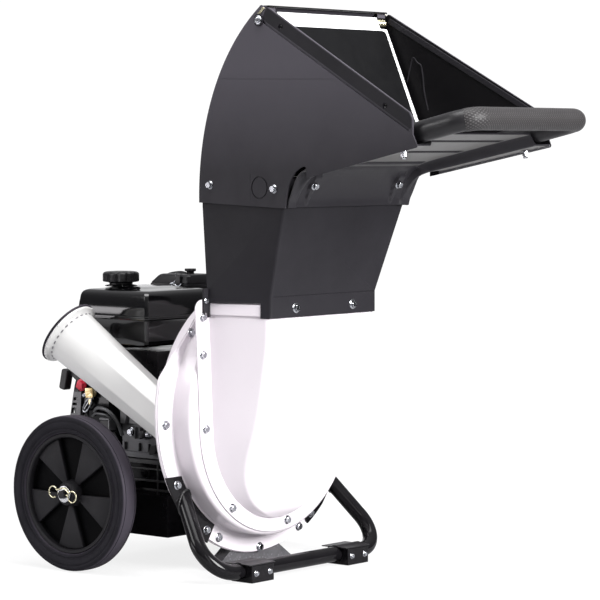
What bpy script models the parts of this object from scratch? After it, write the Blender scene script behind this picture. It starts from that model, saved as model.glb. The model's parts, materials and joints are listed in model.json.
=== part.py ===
# Petrol garden shredder: wheeled frame with engine, impeller housing, chipper cone,
# shredder chute and leaf hopper. Lengths in the constants are millimetres; the meshes are metres.
# World frame: +X forward (engine towards hopper mouth), +Y left, +Z up, ground at Z = 0.
# The design coordinates put X = 0 on the wheel axle; X_SHIFT moves the box centre to X = 0.
import bpy
import bmesh
import math
from mathutils import Vector, Matrix

# ---------------------------------------------------------------- driving dimensions (mm)
X_SHIFT = -358.1          # design X of the axle -> world X
GAP = 0.35                # clearance between touching pieces

WHEEL_R = 152.4           # 12 in wheel
WHEEL_Y = 275.5           # mid plane of each wheel
TYRE_W = 41.8
RIM_R = 118.0
AXLE_R = 8.0
AXLE_Z = 152.4

SHAFT_Z = 313.0           # crankshaft height
RING_Z = 318.0            # centre of the bolt flange's round lower part
RING_R = 290.0
DRUM_R = 247.0            # outer radius of the front drum wall
REAR_R = 243.0            # outer radius of the rear drum wall
X_REAR = 192.0            # rear wall of the housing
X_FLANGE = 233.0          # joint plane of the two shells
X_FRONT = 281.0           # front face of the drum
SHEET = 3.0

BASE_Z = 296.0            # centre of the chute flange's round part
BASE_R = 222.0
SCOOP_Z = 288.0           # centre of the scoop's round foot
SCOOP_R = 187.0

ADAPT_TOP = 768.0
PANEL_Y = 184.0           # outer face of a side panel at X = 418
PANEL_K = 0.073           # flare of the side panels, dY per dX
PANEL_T = 4.0

ROD = (411.0, 1069.0)     # hopper flap's hinge rod, X and Z
FLAP_TILT = math.radians(23.4)
FLAP_LEN = 277.0

HANDLE_Y = 178.0
HANDLE_X = 880.0
HANDLE_R = 20.5
HANDLE_SLOPE = 0.225
HANDLE_Z = 877.8

CONE_BASE = (192.0, -172.0, 274.5)
CONE_ELEV = math.radians(35.2)
CONE_YAW = math.radians(11.0)

for ob in list(bpy.data.objects):
    bpy.data.objects.remove(ob, do_unlink=True)

COL = bpy.context.scene.collection
MATS = {}


def material(name, colour, rough, metal=0.0):
    if name not in MATS:
        m = bpy.data.materials.new(name)
        m.use_nodes = True
        b = m.node_tree.nodes["Principled BSDF"]
        b.inputs["Base Color"].default_value = (*colour, 1.0)
        b.inputs["Roughness"].default_value = rough
        b.inputs["Metallic"].default_value = metal
        m.diffuse_color = (*colour, 1.0)
        MATS[name] = m
    return MATS[name]


WHITE = ("white_paint", (0.80, 0.78, 0.80), 0.38, 0.0)
BLACK = ("black_paint", (0.015, 0.015, 0.017), 0.30, 0.0)
PLASTIC = ("black_plastic", (0.040, 0.038, 0.043), 0.62, 0.0)
HUBP = ("hub_plastic", (0.030, 0.030, 0.034), 0.50, 0.0)
RUBBER = ("rubber", (0.022, 0.020, 0.024), 0.80, 0.0)
GRIP = ("grip_rubber", (0.055, 0.052, 0.056), 0.75, 0.0)
STEEL = ("zinc_steel", (0.62, 0.63, 0.65), 0.30, 1.0)
GALV = ("galvanised_sheet", (0.42, 0.42, 0.44), 0.42, 1.0)
YZINC = ("yellow_zinc", (0.72, 0.62, 0.36), 0.32, 1.0)
HARD = ("hardened_steel", (0.42, 0.42, 0.44), 0.35, 1.0)
CAST = ("cast_aluminium", (0.36, 0.37, 0.38), 0.48, 1.0)
GLOSS = ("gloss_black", (0.010, 0.010, 0.012), 0.12, 0.0)
RED = ("red_plastic", (0.60, 0.03, 0.06), 0.40, 0.0)
BRASS = ("brass", (0.70, 0.55, 0.30), 0.35, 1.0)
DARK = ("dark_plastic", (0.030, 0.030, 0.032), 0.55, 0.0)


# ---------------------------------------------------------------- mesh helpers (mm, design frame)
def new_mesh():
    return bmesh.new()


def loft(rings, loop=False, cap=True, bm=None):
    """Quads between rings of equal point count; caps at both ends unless the rings close on themselves."""
    bm = bm or new_mesh()
    rows = [[bm.verts.new(p) for p in r] for r in rings]
    n = len(rows[0])
    pairs = list(zip(rows[:-1], rows[1:]))
    if loop:
        pairs.append((rows[-1], rows[0]))
    for a, b in pairs:
        for i in range(n):
            j = (i + 1) % n
            bm.faces.new((a[i], a[j], b[j], b[i]))
    if cap and not loop:
        bm.faces.new(rows[0])
        bm.faces.new(list(reversed(rows[-1])))
    return bm


def frame_of(axis):
    """Two unit vectors square to the axis."""
    d = Vector(axis).normalized()
    ref = Vector((0, 0, 1)) if abs(d.z) < 0.9 else Vector((1, 0, 0))
    u = d.cross(ref).normalized()
    v = d.cross(u).normalized()
    return d, u, v


def turned(profile, origin, axis, n=32, closed=False, bm=None):
    """Turn a profile of (radius, height along axis). closed=True joins its ends into a ring solid;
    otherwise the first and last points lie on the axis or are capped flat."""
    bm = bm or new_mesh()
    d, u, v = frame_of(axis)
    o = Vector(origin)
    rows = []
    for r, h in profile:
        if r < 1e-6:
            rows.append([bm.verts.new(o + d * h)])
        else:
            rows.append([bm.verts.new(o + d * h + (u * math.cos(2 * math.pi * i / n) +
                                                   v * math.sin(2 * math.pi * i / n)) * r)
                         for i in range(n)])
    seq = list(zip(rows[:-1], rows[1:]))
    if closed:
        seq.append((rows[-1], rows[0]))
    for a, b in seq:
        if len(a) == 1 and len(b) == 1:
            continue
        for i in range(n):
            j = (i + 1) % n
            if len(a) == 1:
                bm.faces.new((a[0], b[j], b[i]))
            elif len(b) == 1:
                bm.faces.new((a[i], a[j], b[0]))
            else:
                bm.faces.new((a[i], a[j], b[j], b[i]))
    if not closed:
        if len(rows[0]) > 1:
            bm.faces.new(rows[0])
        if len(rows[-1]) > 1:
            bm.faces.new(list(reversed(rows[-1])))
    return bm


def prism(poly, a, b, axis):
    """Extrude a 2D polygon along X (y,z), Y (x,z) or Z (x,y)."""
    def p3(p, h):
        return {"X": (h, p[0], p[1]), "Y": (p[0], h, p[1]), "Z": (p[0], p[1], h)}[axis]
    return loft([[p3(p, a) for p in poly], [p3(p, b) for p in poly]])


def box(x0, x1, y0, y1, z0, z1):
    return prism([(x0, y0), (x1, y0), (x1, y1), (x0, y1)], z0, z1, "Z")


def cells(xs, ys, zs, filled, place=None):
    """Boundary of the filled cells of a rectangular grid: a union of boxes as one closed body."""
    bm = new_mesh()
    cache = {}

    def vert(i, j, k):
        if (i, j, k) not in cache:
            p = Vector((xs[i], ys[j], zs[k]))
            cache[(i, j, k)] = bm.verts.new(place @ p if place else p)
        return cache[(i, j, k)]

    def on(i, j, k):
        if not (0 <= i < len(xs) - 1 and 0 <= j < len(ys) - 1 and 0 <= k < len(zs) - 1):
            return False
        return filled((xs[i] + xs[i + 1]) / 2, (ys[j] + ys[j + 1]) / 2, (zs[k] + zs[k + 1]) / 2)
    for i in range(len(xs) - 1):
        for j in range(len(ys) - 1):
            for k in range(len(zs) - 1):
                if not on(i, j, k):
                    continue
                for (di, dj, dk), quad in (
                        ((-1, 0, 0), ((0, 0, 0), (0, 0, 1), (0, 1, 1), (0, 1, 0))),
                        ((1, 0, 0), ((1, 0, 0), (1, 1, 0), (1, 1, 1), (1, 0, 1))),
                        ((0, -1, 0), ((0, 0, 0), (1, 0, 0), (1, 0, 1), (0, 0, 1))),
                        ((0, 1, 0), ((0, 1, 0), (0, 1, 1), (1, 1, 1), (1, 1, 0))),
                        ((0, 0, -1), ((0, 0, 0), (0, 1, 0), (1, 1, 0), (1, 0, 0))),
                        ((0, 0, 1), ((0, 0, 1), (1, 0, 1), (1, 1, 1), (0, 1, 1)))):
                    if not on(i + di, j + dj, k + dk):
                        bm.faces.new([vert(i + a, j + b, k + c) for a, b, c in quad])
    return bm


def polar_cells(rs, n, hs, filled, origin, axis):
    """Boundary of the filled cells of a polar grid (radius, sector, height) as one closed body."""
    bm = new_mesh()
    d, u, v = frame_of(axis)
    o = Vector(origin)
    cache = {}

    def vert(i, j, k):
        j %= n
        if (i, j, k) not in cache:
            a = 2 * math.pi * j / n
            cache[(i, j, k)] = bm.verts.new(o + d * hs[k] + (u * math.cos(a) + v * math.sin(a)) * rs[i])
        return cache[(i, j, k)]

    def on(i, j, k):
        if not (0 <= i < len(rs) - 1 and 0 <= k < len(hs) - 1):
            return False
        return filled((rs[i] + rs[i + 1]) / 2, j % n, (hs[k] + hs[k + 1]) / 2)
    for i in range(len(rs) - 1):
        for j in range(n):
            for k in range(len(hs) - 1):
                if not on(i, j, k):
                    continue
                for (di, dj, dk), quad in (
                        ((-1, 0, 0), ((0, 0, 0), (0, 0, 1), (0, 1, 1), (0, 1, 0))),
                        ((1, 0, 0), ((1, 0, 0), (1, 1, 0), (1, 1, 1), (1, 0, 1))),
                        ((0, -1, 0), ((0, 0, 0), (1, 0, 0), (1, 0, 1), (0, 0, 1))),
                        ((0, 1, 0), ((0, 1, 0), (0, 1, 1), (1, 1, 1), (1, 1, 0))),
                        ((0, 0, -1), ((0, 0, 0), (0, 1, 0), (1, 1, 0), (1, 0, 0))),
                        ((0, 0, 1), ((0, 0, 1), (1, 0, 1), (1, 1, 1), (0, 1, 1)))):
                    if not on(i + di, j + dj, k + dk):
                        bm.faces.new([vert(i + a, j + b, k + c) for a, b, c in quad])
    return bm


def tube_rings(path, r, n=10):
    """Rings of a round bar along a polyline."""
    pts = [Vector(p) for p in path]
    tang = []
    for i in range(len(pts)):
        a = pts[max(i - 1, 0)]
        b = pts[min(i + 1, len(pts) - 1)]
        tang.append((b - a).normalized())
    d, u, _ = frame_of(tang[0])
    rings = []
    for i, p in enumerate(pts):
        t = tang[i]
        u = (u - t * u.dot(t)).normalized()
        v = t.cross(u)
        rings.append([p + (u * math.cos(2 * math.pi * k / n) + v * math.sin(2 * math.pi * k / n)) * r
                      for k in range(n)])
    return rings


def tube(path, r, n=10):
    """Round bar along a polyline, ends capped."""
    return loft(tube_rings(path, r, n))


def rounded_path(corners, radius, steps=6):
    """Polyline through the corners with each inner corner rounded by an arc."""
    c = [Vector(p) for p in corners]
    out = [c[0]]
    for i in range(1, len(c) - 1):
        a = (c[i - 1] - c[i]).normalized()
        b = (c[i + 1] - c[i]).normalized()
        ang = a.angle(b)
        t = radius / math.tan(ang / 2)
        centre = c[i] + (a + b).normalized() * (radius / math.sin(ang / 2))
        p0 = c[i] + a * t - centre
        p1 = c[i] + b * t - centre
        sweep = p0.angle(p1)
        for s in range(steps + 1):
            f = s / steps
            w0 = math.sin((1 - f) * sweep) / math.sin(sweep)
            w1 = math.sin(f * sweep) / math.sin(sweep)
            out.append(centre + p0 * w0 + p1 * w1)
    out.append(c[-1])
    return out


def rounded_poly(corners, radii, steps=4):
    """Closed 2D polygon with each corner rounded by its own radius."""
    n = len(corners)
    out = []
    for i in range(n):
        p = Vector(corners[i])
        a = (Vector(corners[i - 1]) - p)
        b = (Vector(corners[(i + 1) % n]) - p)
        r = radii[i] if isinstance(radii, (list, tuple)) else radii
        if r <= 0:
            out.append(tuple(p))
            continue
        ang = a.angle(b)
        t = min(r / math.tan(ang / 2), a.length * 0.49, b.length * 0.49)
        r = t * math.tan(ang / 2)
        a.normalize()
        b.normalize()
        centre = p + (a + b).normalized() * (r / math.sin(ang / 2))
        p0 = p + a * t - centre
        p1 = p + b * t - centre
        a0 = math.atan2(p0.y, p0.x)
        da = math.atan2(p1.y, p1.x) - a0
        while da > math.pi:
            da -= 2 * math.pi
        while da < -math.pi:
            da += 2 * math.pi
        for s in range(steps + 1):
            q = a0 + da * s / steps
            out.append((centre.x + r * math.cos(q), centre.y + r * math.sin(q)))
    return out


def put(name, bm, mat, origin=(0, 0, 0), smooth=True, guide=False):
    """Make the object: mesh in metres about its own origin, placed in the world."""
    bmesh.ops.remove_doubles(bm, verts=bm.verts, dist=0.004)
    bmesh.ops.recalc_face_normals(bm, faces=bm.faces)
    o = Vector(origin)
    bmesh.ops.translate(bm, verts=bm.verts, vec=-o)
    bmesh.ops.scale(bm, verts=bm.verts, vec=(0.001, 0.001, 0.001))
    me = bpy.data.meshes.new(name)
    bm.to_mesh(me)
    bm.free()
    ob = bpy.data.objects.new(name, me)
    COL.objects.link(ob)
    ob.location = ((o.x + X_SHIFT) * 0.001, o.y * 0.001, o.z * 0.001)
    if mat:
        me.materials.append(material(*mat))
    if smooth:
        me.shade_smooth()
        me.set_sharp_from_angle(angle=math.radians(32))
    if guide:
        ob.hide_render = True
        ob.display_type = "WIRE"
    return ob


CUTS = [0]


def boolean(ob, bm, op="DIFFERENCE"):
    CUTS[0] += 1
    g = put("guide_%02d" % CUTS[0], bm, None, guide=True, smooth=False)
    m = ob.modifiers.new("shape_%02d" % CUTS[0], "BOOLEAN")
    m.operation = op
    m.solver = "EXACT"
    m.object = g
    return ob


def rod(x0, x1, r, origin, axis, n=16):
    return turned([(0, x0), (r, x0), (r, x1), (0, x1)], origin, axis, n)


def side(s):
    return "right" if s < 0 else "left"


# ---------------------------------------------------------------- running gear
def base_frame():
    t = 3.5
    xs = [-115, -115 + t, -100, 133 - t, 133, X_REAR - GAP]
    ys = [-150, -150 + t, -92, -62, 62, 92, 150 - t, 150]
    zs = [62, 139.5, 143.5, 206.6]

    def filled(x, y, z):
        if z < 143.5:
            if x > 133:
                return False
            if z > 139.5:
                return True
            return abs(y) > 150 - t or x < -115 + t or x > 133 - t
        return 62 < abs(y) < 92 and x > -100
    ob = put("base_frame", cells(xs, ys, zs, filled), BLACK)
    boolean(ob, rod(-160, 160, AXLE_R + 0.4, (0, 0, AXLE_Z), (0, 1, 0), 20))


def axle():
    ob = put("axle", rod(-312, 312, AXLE_R, (0, 0, AXLE_Z), (0, 1, 0), 20), STEEL, (0, 0, AXLE_Z))
    for s in (-1, 1):
        boolean(ob, rod(-14, 14, 1.75, (0, s * 307, AXLE_Z), (1, 0, 0), 8))


def wheel(s):
    o = (0, s * WHEEL_Y, AXLE_Z)
    w = TYRE_W / 2
    r0 = RIM_R + GAP
    half = [(r0, w - 5), (r0 + 7, w), (WHEEL_R - 9, w), (WHEEL_R - 3, w - 4), (WHEEL_R, w - 10)]
    prof = [(r, h) for r, h in half] + [(r, -h) for r, h in reversed(half)]
    put("tyre_" + side(s), turned(prof, o, (0, 1, 0), 40, closed=True), RUBBER, o)
    # hub: barrel, web, rim and five raised sectors on the outer side
    rs = [AXLE_R + GAP, 23, 110, RIM_R]
    hs = [-21, -15.5, -5, -1, 9, 15.5, 24.5]

    def filled(r, j, h):
        if r < 23:
            return True
        if r > 110:
            return -15.5 < h < 15.5
        if -5 < h < -1:
            return True
        return (j % 4) < 2 and -1 < h < 9
    put("wheel_hub_" + side(s), polar_cells(rs, 20, hs, filled, o, (0, s, 0)), HUBP, o)


def hitch_pin(s):
    """Bow-tie hairpin: a straight leg through the axle, a loop at each end and an arc over the axle."""
    y = s * 307
    path = [(-12.5, 0), (-6, 0), (0, 0), (6, 0), (12.5, 0)]
    c = 22
    for k in range(0, 13):
        a = math.radians(180 + (330.0 * k / 12))
        if k > 0:
            path.append((c + 8.5 * math.cos(a), 8.5 * math.sin(a)))
    path += [(9.5, 9.2), (0, 12.6), (-9.5, 9.2)]
    for k in range(0, 11):
        a = math.radians(30 + 285.0 * k / 10)
        path.append((-c + 8.5 * math.cos(a), 8.5 * math.sin(a)))
    put("hitch_pin_" + side(s), tube([(x, y, AXLE_Z + z) for x, z in path], 1.25, 6), YZINC, (0, y, AXLE_Z))


STAND_END = (225.0, 212.0, 168.0)
STAND_CORNER = (345.0, 271.0, 21.0)


def stand():
    x0, y0, z0 = STAND_END
    x1, y1, z1 = STAND_CORNER
    path = rounded_path([(x0, -y0, z0), (x1, -y1, z1), (x1, y1, z1), (x0, y0, z0)], 58, 6)
    ob = put("stand_tube", tube(path, 15, 12), BLACK)
    boolean(ob, box(150, 241.2, -400, 400, 60, 300))
    for s in (-1, 1):
        poly = []
        for k in range(9):
            a = math.radians(32 + 34 * k / 8)
            poly.append((s * 294 * math.sin(a), SHAFT_Z - 294 * math.cos(a)))
        for k in range(9):
            a = math.radians(66 - 34 * k / 8)
            poly.append((s * 254 * math.sin(a), SHAFT_Z - 254 * math.cos(a)))
        put("stand_bracket_" + side(s), prism(poly, 236.65, 240.8, "X"), BLACK)
        # foot block with an open-topped channel for the tube
        r = 15.4
        prof = [(322, 0), (374.9, 0), (374.9, 33)]
        a0 = math.asin((33 - z1) / r)
        for k in range(13):
            a = a0 - (math.pi + 2 * a0) * k / 12
            prof.append((x1 + r * math.cos(a), z1 + r * math.sin(a)))
        prof.append((322, 33))
        y0f, y1f = sorted((s * 112.7, s * 177.2))
        put("stand_foot_" + side(s), prism(prof, y0f, y1f, "Y"), DARK)


# ---------------------------------------------------------------- impeller housing
NA = 48


def circle(x, cy, cz, r):
    return [(x, cy + r * math.sin(2 * math.pi * i / NA), cz - r * math.cos(2 * math.pi * i / NA))
            for i in range(NA)]


def flange_ring(x, shrink=0.0):
    """Bolt flange: round below, its two upper shoulders cut in at 45 degrees."""
    pts = []
    for i in range(NA):
        a = 2 * math.pi * i / NA
        y, z = math.sin(a), -math.cos(a)
        r = RING_R
        # distance to the shoulder lines |y| + 0.9 z = c and to the flat top
        for ny, nz, c in ((0.743, 0.669, 256.0), (0.0, 1.0, 254.0)):
            k = abs(y) * ny + z * nz
            if k > 0.05:
                r = min(r, c / k)
        r -= shrink
        pts.append((x, y * r, RING_Z + z * r))
    return pts


def housing():
    x0, x1, x2 = X_REAR, X_FLANGE - 4, X_FLANGE
    hub_r = 103
    rings = [flange_ring(x1), flange_ring(x2), circle(x2, 0, SHAFT_Z, REAR_R - SHEET),
             circle(x0 + SHEET, 0, SHAFT_Z, REAR_R - SHEET), circle(x0 + SHEET, 0, SHAFT_Z, hub_r - SHEET),
             circle(153, 0, SHAFT_Z, hub_r - SHEET), circle(153, 0, SHAFT_Z, 22), circle(150, 0, SHAFT_Z, 22),
             circle(150, 0, SHAFT_Z, hub_r), circle(x0, 0, SHAFT_Z, hub_r), circle(x0, 0, SHAFT_Z, REAR_R),
             circle(x1, 0, SHAFT_Z, REAR_R)]
    ob = put("housing_rear", loft(rings, loop=True), WHITE)
    # discharge opening in the floor of the drum, and the mouth for the chipper cone
    boolean(ob, box(202, 225, -56, 56, 40, 100))
    d = cone_dir()
    b = Vector(CONE_BASE)
    boolean(ob, turned([(0, -40), (36, -40), (36, 40), (0, 40)], b, d, 20))

    f0 = X_FLANGE + GAP
    f1 = X_FLANGE + 3.3
    rings = [flange_ring(f0, 1.5), flange_ring(f1, 1.5), circle(f1, 0, SHAFT_Z, DRUM_R),
             circle(X_FRONT, 0, SHAFT_Z, DRUM_R), circle(X_FRONT, 0, SCOOP_Z, 178),
             circle(X_FRONT - SHEET, 0, SCOOP_Z, 178), circle(X_FRONT - SHEET, 0, SHAFT_Z, DRUM_R - SHEET),
             circle(f0, 0, SHAFT_Z, DRUM_R - SHEET)]
    put("housing_front", loft(rings, loop=True), WHITE)


def scoop_half(z):
    """Half width of the scoop's foot at height z."""
    if z >= SCOOP_Z:
        return SCOOP_R + (z - SCOOP_Z) * 11.0 / 223.0
    return math.sqrt(max(SCOOP_R ** 2 - (SCOOP_Z - z) ** 2, 0.0))


def scoop_keel(z):
    """X of the scoop's front wall at height z."""
    pts = [(101, 290), (119, 302), (146, 306), (178, 314), (209, 325), (250, 344), (290, 363), (349, 379),
           (406, 391), (454, 400), (511, 403.5), (560, 404)]
    for (za, xa), (zb, xb) in zip(pts[:-1], pts[1:]):
        if z <= zb:
            return xa + (xb - xa) * (z - za) / (zb - za)
    return pts[-1][1]


def scoop_section(z, inset, x_rear, round_r=13.0):
    yb = scoop_half(z) - inset
    xf = scoop_keel(z) - inset
    yf = scoop_half(z) * 0.805 - inset
    r = min(round_r, max(yf * 0.6, 2.0))
    poly = rounded_poly([(x_rear, -yb), (xf, -yf), (xf, yf), (x_rear, yb)], [0, r, r, 0], 4)
    return [(p[0], p[1], z) for p in poly]


def collar_section(z, inset, x_rear):
    """Straight collar above the scoop that the hopper adapter slips over."""
    poly = rounded_poly([(x_rear, -196 + inset), (401.6 - inset, -155.2 + inset), (401.6 - inset, 155.2 - inset),
                         (x_rear, 196 - inset)], [0, 11, 11, 0], 4)
    return [(p[0], p[1], z) for p in poly]


def chute():
    # U-shaped flange plate
    poly = []
    for k in range(25):
        a = math.radians(-90 + 180 * k / 24)
        poly.append((BASE_R * math.sin(a), BASE_Z - BASE_R * math.cos(a)))
    poly += [(226, 367), (230, 443)]
    top = [(234, 505)] + [(215 + 19.5 * math.cos(math.radians(a)), 518.5 + 19.5 * math.sin(math.radians(a)))
                          for a in (10, 30, 50, 70, 90)]
    poly += top + [(-y, z) for y, z in reversed(top)] + [(-230, 443), (-226, 367)]
    x0 = X_FRONT + GAP
    ob = put("shredder_chute", prism(poly, x0, x0 + SHEET, "X"), WHITE)
    zs = [104, 112, 125, 146, 178, 209, 250, 290, 349, 406, 454, 503]
    outer = [scoop_section(z, 0, x0 + 1.2) for z in zs]
    outer += [collar_section(z, 0, x0 + 1.2) for z in (503.4, 545)]
    boolean(ob, loft(outer), "UNION")
    zi = [109, 116, 127, 147, 178, 209, 250, 290, 349, 406, 454, 503]
    inner = [scoop_section(z, 5.2, x0 - 30, 10) for z in zi]
    inner += [collar_section(z, SHEET, x0 - 30) for z in (506, 560)]
    boolean(ob, loft(inner))


def cone_dir():
    return Vector((-math.cos(CONE_ELEV) * math.cos(CONE_YAW), -math.cos(CONE_ELEV) * math.sin(CONE_YAW),
                   math.sin(CONE_ELEV)))


def cone():
    d = cone_dir()
    b = Vector(CONE_BASE)
    outer = [(38, -60), (40.5, 20), (55.4, 304), (58, 311), (66.5, 316), (66.5, 321)]
    inner = [(64, 321), (56.5, 313), (52.9, 304), (38, 20), (35.5, -60)]
    ob = put("chipper_cone", turned(outer + inner, b, d, 28, closed=True), WHITE)
    boolean(ob, box(X_REAR - GAP, 330, -420, 60, 100, 420))
    prof = [(62.5, 321.4), (67.3, 321.4), (68.5, 323.4), (67.3, 325.6), (62.5, 325.6)]
    put("chipper_mouth_ring", turned(prof, b, d, 28, closed=True), RUBBER)


def discharge():
    def ring(z, x0, x1, y):
        return [(x0, -y, z), (x1, -y, z), (x1, y, z), (x0, y, z)]
    ob = put("discharge_hood", loft([ring(16, 198, 228.4, 106), ring(46, 198, 228.4, 64), ring(98, 198, 228.4, 62)]),
             GALV)
    boolean(ob, loft([ring(9, 201, 225.4, 113), ring(46, 201, 225.4, 61), ring(120, 201, 225.4, 58.6)]))
    boolean(ob, rod(140, 260, REAR_R + 0.45, (0, 0, SHAFT_Z), (1, 0, 0), NA))


# ---------------------------------------------------------------- rotor
FLAIL_PIN_R = 150


def rotor():
    o = (0, 0, SHAFT_Z)
    put("crankshaft", rod(122, 262, 12.5, o, (1, 0, 0), 20), HARD, o)
    prof = [(13, 199), (32, 199), (32, 212), (224, 212), (224, 220), (32, 220), (32, 232), (13, 232)]
    ob = put("impeller", turned(prof, o, (1, 0, 0), 36, closed=True), HARD, o)
    for k in range(4):
        # four straight paddles on the rear face
        turn = Matrix.Translation(Vector(o)) @ Matrix.Rotation(math.radians(45 + 90 * k), 4, "X")
        boolean(ob, cells([199.5, 213], [92, 221], [-3, 3], lambda *a: True, turn), "UNION")
    for s in (-1, 1):
        boolean(ob, rod(205, 226, 5.4, (0, 0, SHAFT_Z + s * FLAIL_PIN_R), (1, 0.0, 0.0), 14))
    for i, s in enumerate((-1, 1)):
        y0, y1 = sorted((s * 110, s * 205))
        z = SHAFT_Z + (-26 if s < 0 else 26)
        put("chipper_blade_%d" % (i + 1), prism([(205.5, z - 22), (211.6, z - 30), (211.6, z + 22), (205.5, z + 22)],
                                                 y0, y1, "Y"), HARD)
    for i, s in enumerate((1, -1)):
        oz = (0, 0, SHAFT_Z + s * FLAIL_PIN_R)
        put("flail_pin_%d" % (i + 1), turned([(0, 205), (5, 205), (5, 264), (9, 264), (9, 269), (0, 269)], oz,
                                             (1, 0, 0), 12), STEEL, oz)
        for k in range(2):
            x0 = 226 + 18 * k
            # a flail hangs straight down from its pin
            outline = rounded_poly([(-13, 13), (13, 13), (13, -66), (-13, -66)], [12, 12, 3, 3], 3)
            n = len(outline)
            hole = [(5.4 * math.cos(2 * math.pi * q / n + 2.2), 5.4 * math.sin(2 * math.pi * q / n + 2.2))
                    for q in range(n)]
            # match the hole's points to the outline by angle
            outline.sort(key=lambda p: math.atan2(p[1], p[0]))
            hole.sort(key=lambda p: math.atan2(p[1], p[0]))
            ring = []
            for x, pts in ((x0, outline), (x0 + 7, outline), (x0 + 7, hole), (x0, hole)):
                ring.append([(x, p[0], oz[2] + p[1]) for p in pts])
            put("flail_%d" % (2 * i + k + 1), loft(ring, loop=True), HARD, (x0 + 3.5, 0, oz[2]))
    put("impeller_bolt", turned([(0, 262.4), (17, 262.4), (17, 265.6), (9.5, 265.6), (9.5, 274), (0, 274)], o,
                                (1, 0, 0), 6), STEEL, o)


# ---------------------------------------------------------------- hopper
def panel_y(x, off=0.0):
    return PANEL_Y + off + (x - 418.0) * PANEL_K


def bezier(p0, p1, p2, p3, n):
    out = []
    for k in range(n + 1):
        t = k / n
        out.append(tuple((1 - t) ** 3 * a + 3 * (1 - t) ** 2 * t * b + 3 * (1 - t) * t * t * c + t ** 3 * e
                         for a, b, c, e in zip(p0, p1, p2, p3)))
    return out


def back_curve(off=0.0, n=14):
    """Curved back edge of the hopper in the XZ plane, from the adapter up to the top corner."""
    return bezier((236 + off, 721), (233 + off, 860 - off * 0.3), (282 + off, 1005 - off), (403 + off * 0.7, 1092 - off), n)


def adapter():
    def sec(z, xr, yr, xf, yf, r=8):
        poly = rounded_poly([(xr, -yr), (xf, -yf), (xf, yf), (xr, yr)], [3, r, r, 3], 3)
        return [(p[0], p[1], z) for p in poly]
    k = PANEL_T + GAP
    outer = [sec(504, 285.2, 206, 407, 158.7), sec(545, 285.2, 206, 407, 158.7),
             sec(714, 239.5, panel_y(239, -k), 459.5, panel_y(459, -k)),
             sec(ADAPT_TOP, 239.5, panel_y(239, -k), 467, panel_y(467, -k))]
    ob = put("hopper_adapter", loft(outer), PLASTIC)
    t = 3
    inner = [sec(490, 280, 201.5, 404, 155.9, 6), sec(545, 280, 201.5, 404, 155.9, 6),
             sec(548, 288.2, 202, 404, 155.7, 6),
             sec(714, 242.5, panel_y(239, -k - t), 456.3, panel_y(456, -k - t), 6),
             sec(ADAPT_TOP + 20, 242.5, panel_y(239, -k - t), 465, panel_y(465, -k - t), 6)]
    boolean(ob, loft(inner))
    # the side walls end higher than the front skirt and the rear lugs
    for s in (-1, 1):
        y0, y1 = sorted((s * 120, s * 230))
        boolean(ob, box(289.5, 387, y0, y1, 480, 532.5))
    for s in (-1, 1):
        y0, y1 = sorted((s * 200.6, s * 216.3))
        boolean(ob, box(284.9, 288.6, y0, y1, 512.7, 559), "UNION")


def side_panel(s):
    k = 0
    pts = [(p[0], p[1]) for p in back_curve()]
    pts += rounded_poly([(416, 1090), (774, 889), (781, 878), (781, 850), (792, 827), (525, 771), (500, 767),
                         (470, 713)], [4, 10, 6, 0, 4, 8, 20, 0], 3)[0:]
    rings = []
    for off in (0.0, -PANEL_T):
        rings.append([(x, s * panel_y(x, off), z) for x, z in pts])
    put("hopper_panel_" + side(s), loft(rings), PLASTIC)


def hopper_back():
    """Curved back sheet between the side panels, with a folded lip along its top."""
    t = 3
    a = back_curve(2.5, 12)
    b = back_curve(2.5 + t, 12)
    rings = []
    for (xa, za), (xb, zb) in zip(a, b):
        ya = panel_y(xa, -PANEL_T - GAP)
        yb = panel_y(xb, -PANEL_T - GAP)
        rings.append([(xa, -ya, za), (xb, -yb, zb), (xb, yb, zb), (xa, ya, za)])
    # lower end stands on the inside of the adapter's rear wall; the top is folded forward
    x_l, z_l = a[-1]
    lip = [(406, 1087.5), (421, 1087.5)]
    ob = put("hopper_back", loft([r for r in rings if r[0][2] > ADAPT_TOP + 4]), PLASTIC)
    yl = panel_y(398, -PANEL_T - GAP)
    boolean(ob, box(395, 420, -yl, yl, 1084.5, 1091), "UNION")


RAMP = [(470, 714, 0), (474, 728, 0), (486, 748, 3), (503, 766, 9), (524, 776, 16), (562, 783.8, 19.5), (600, 791.5, 20),
        (700, 812, 21), (786, 829.5, 21)]


def ramp():
    """Bent sheet: flat margins beside the panels and a middle pressed up by the third value of each station."""
    rings = []
    for i, (x, z, up) in enumerate(RAMP):
        a = RAMP[max(i - 1, 0)]
        b = RAMP[min(i + 1, len(RAMP) - 1)]
        tx, tz = b[0] - a[0], b[1] - a[1]
        ln = math.hypot(tx, tz)
        rows = []
        for off in (0, 3):
            row = []
            for y, k in ((-1, 0), (-165, 0), (-148, 1), (148, 1), (165, 0), (1, 0)):
                h = off + up * k
                px = x - tz / ln * h
                row.append((px, y * panel_y(px, -PANEL_T - GAP) if abs(y) == 1 else y, z + tx / ln * h))
            rows.append(row)
        rings.append(rows[0] + rows[1][::-1])
    put("hopper_ramp", loft(rings), PLASTIC)


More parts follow.
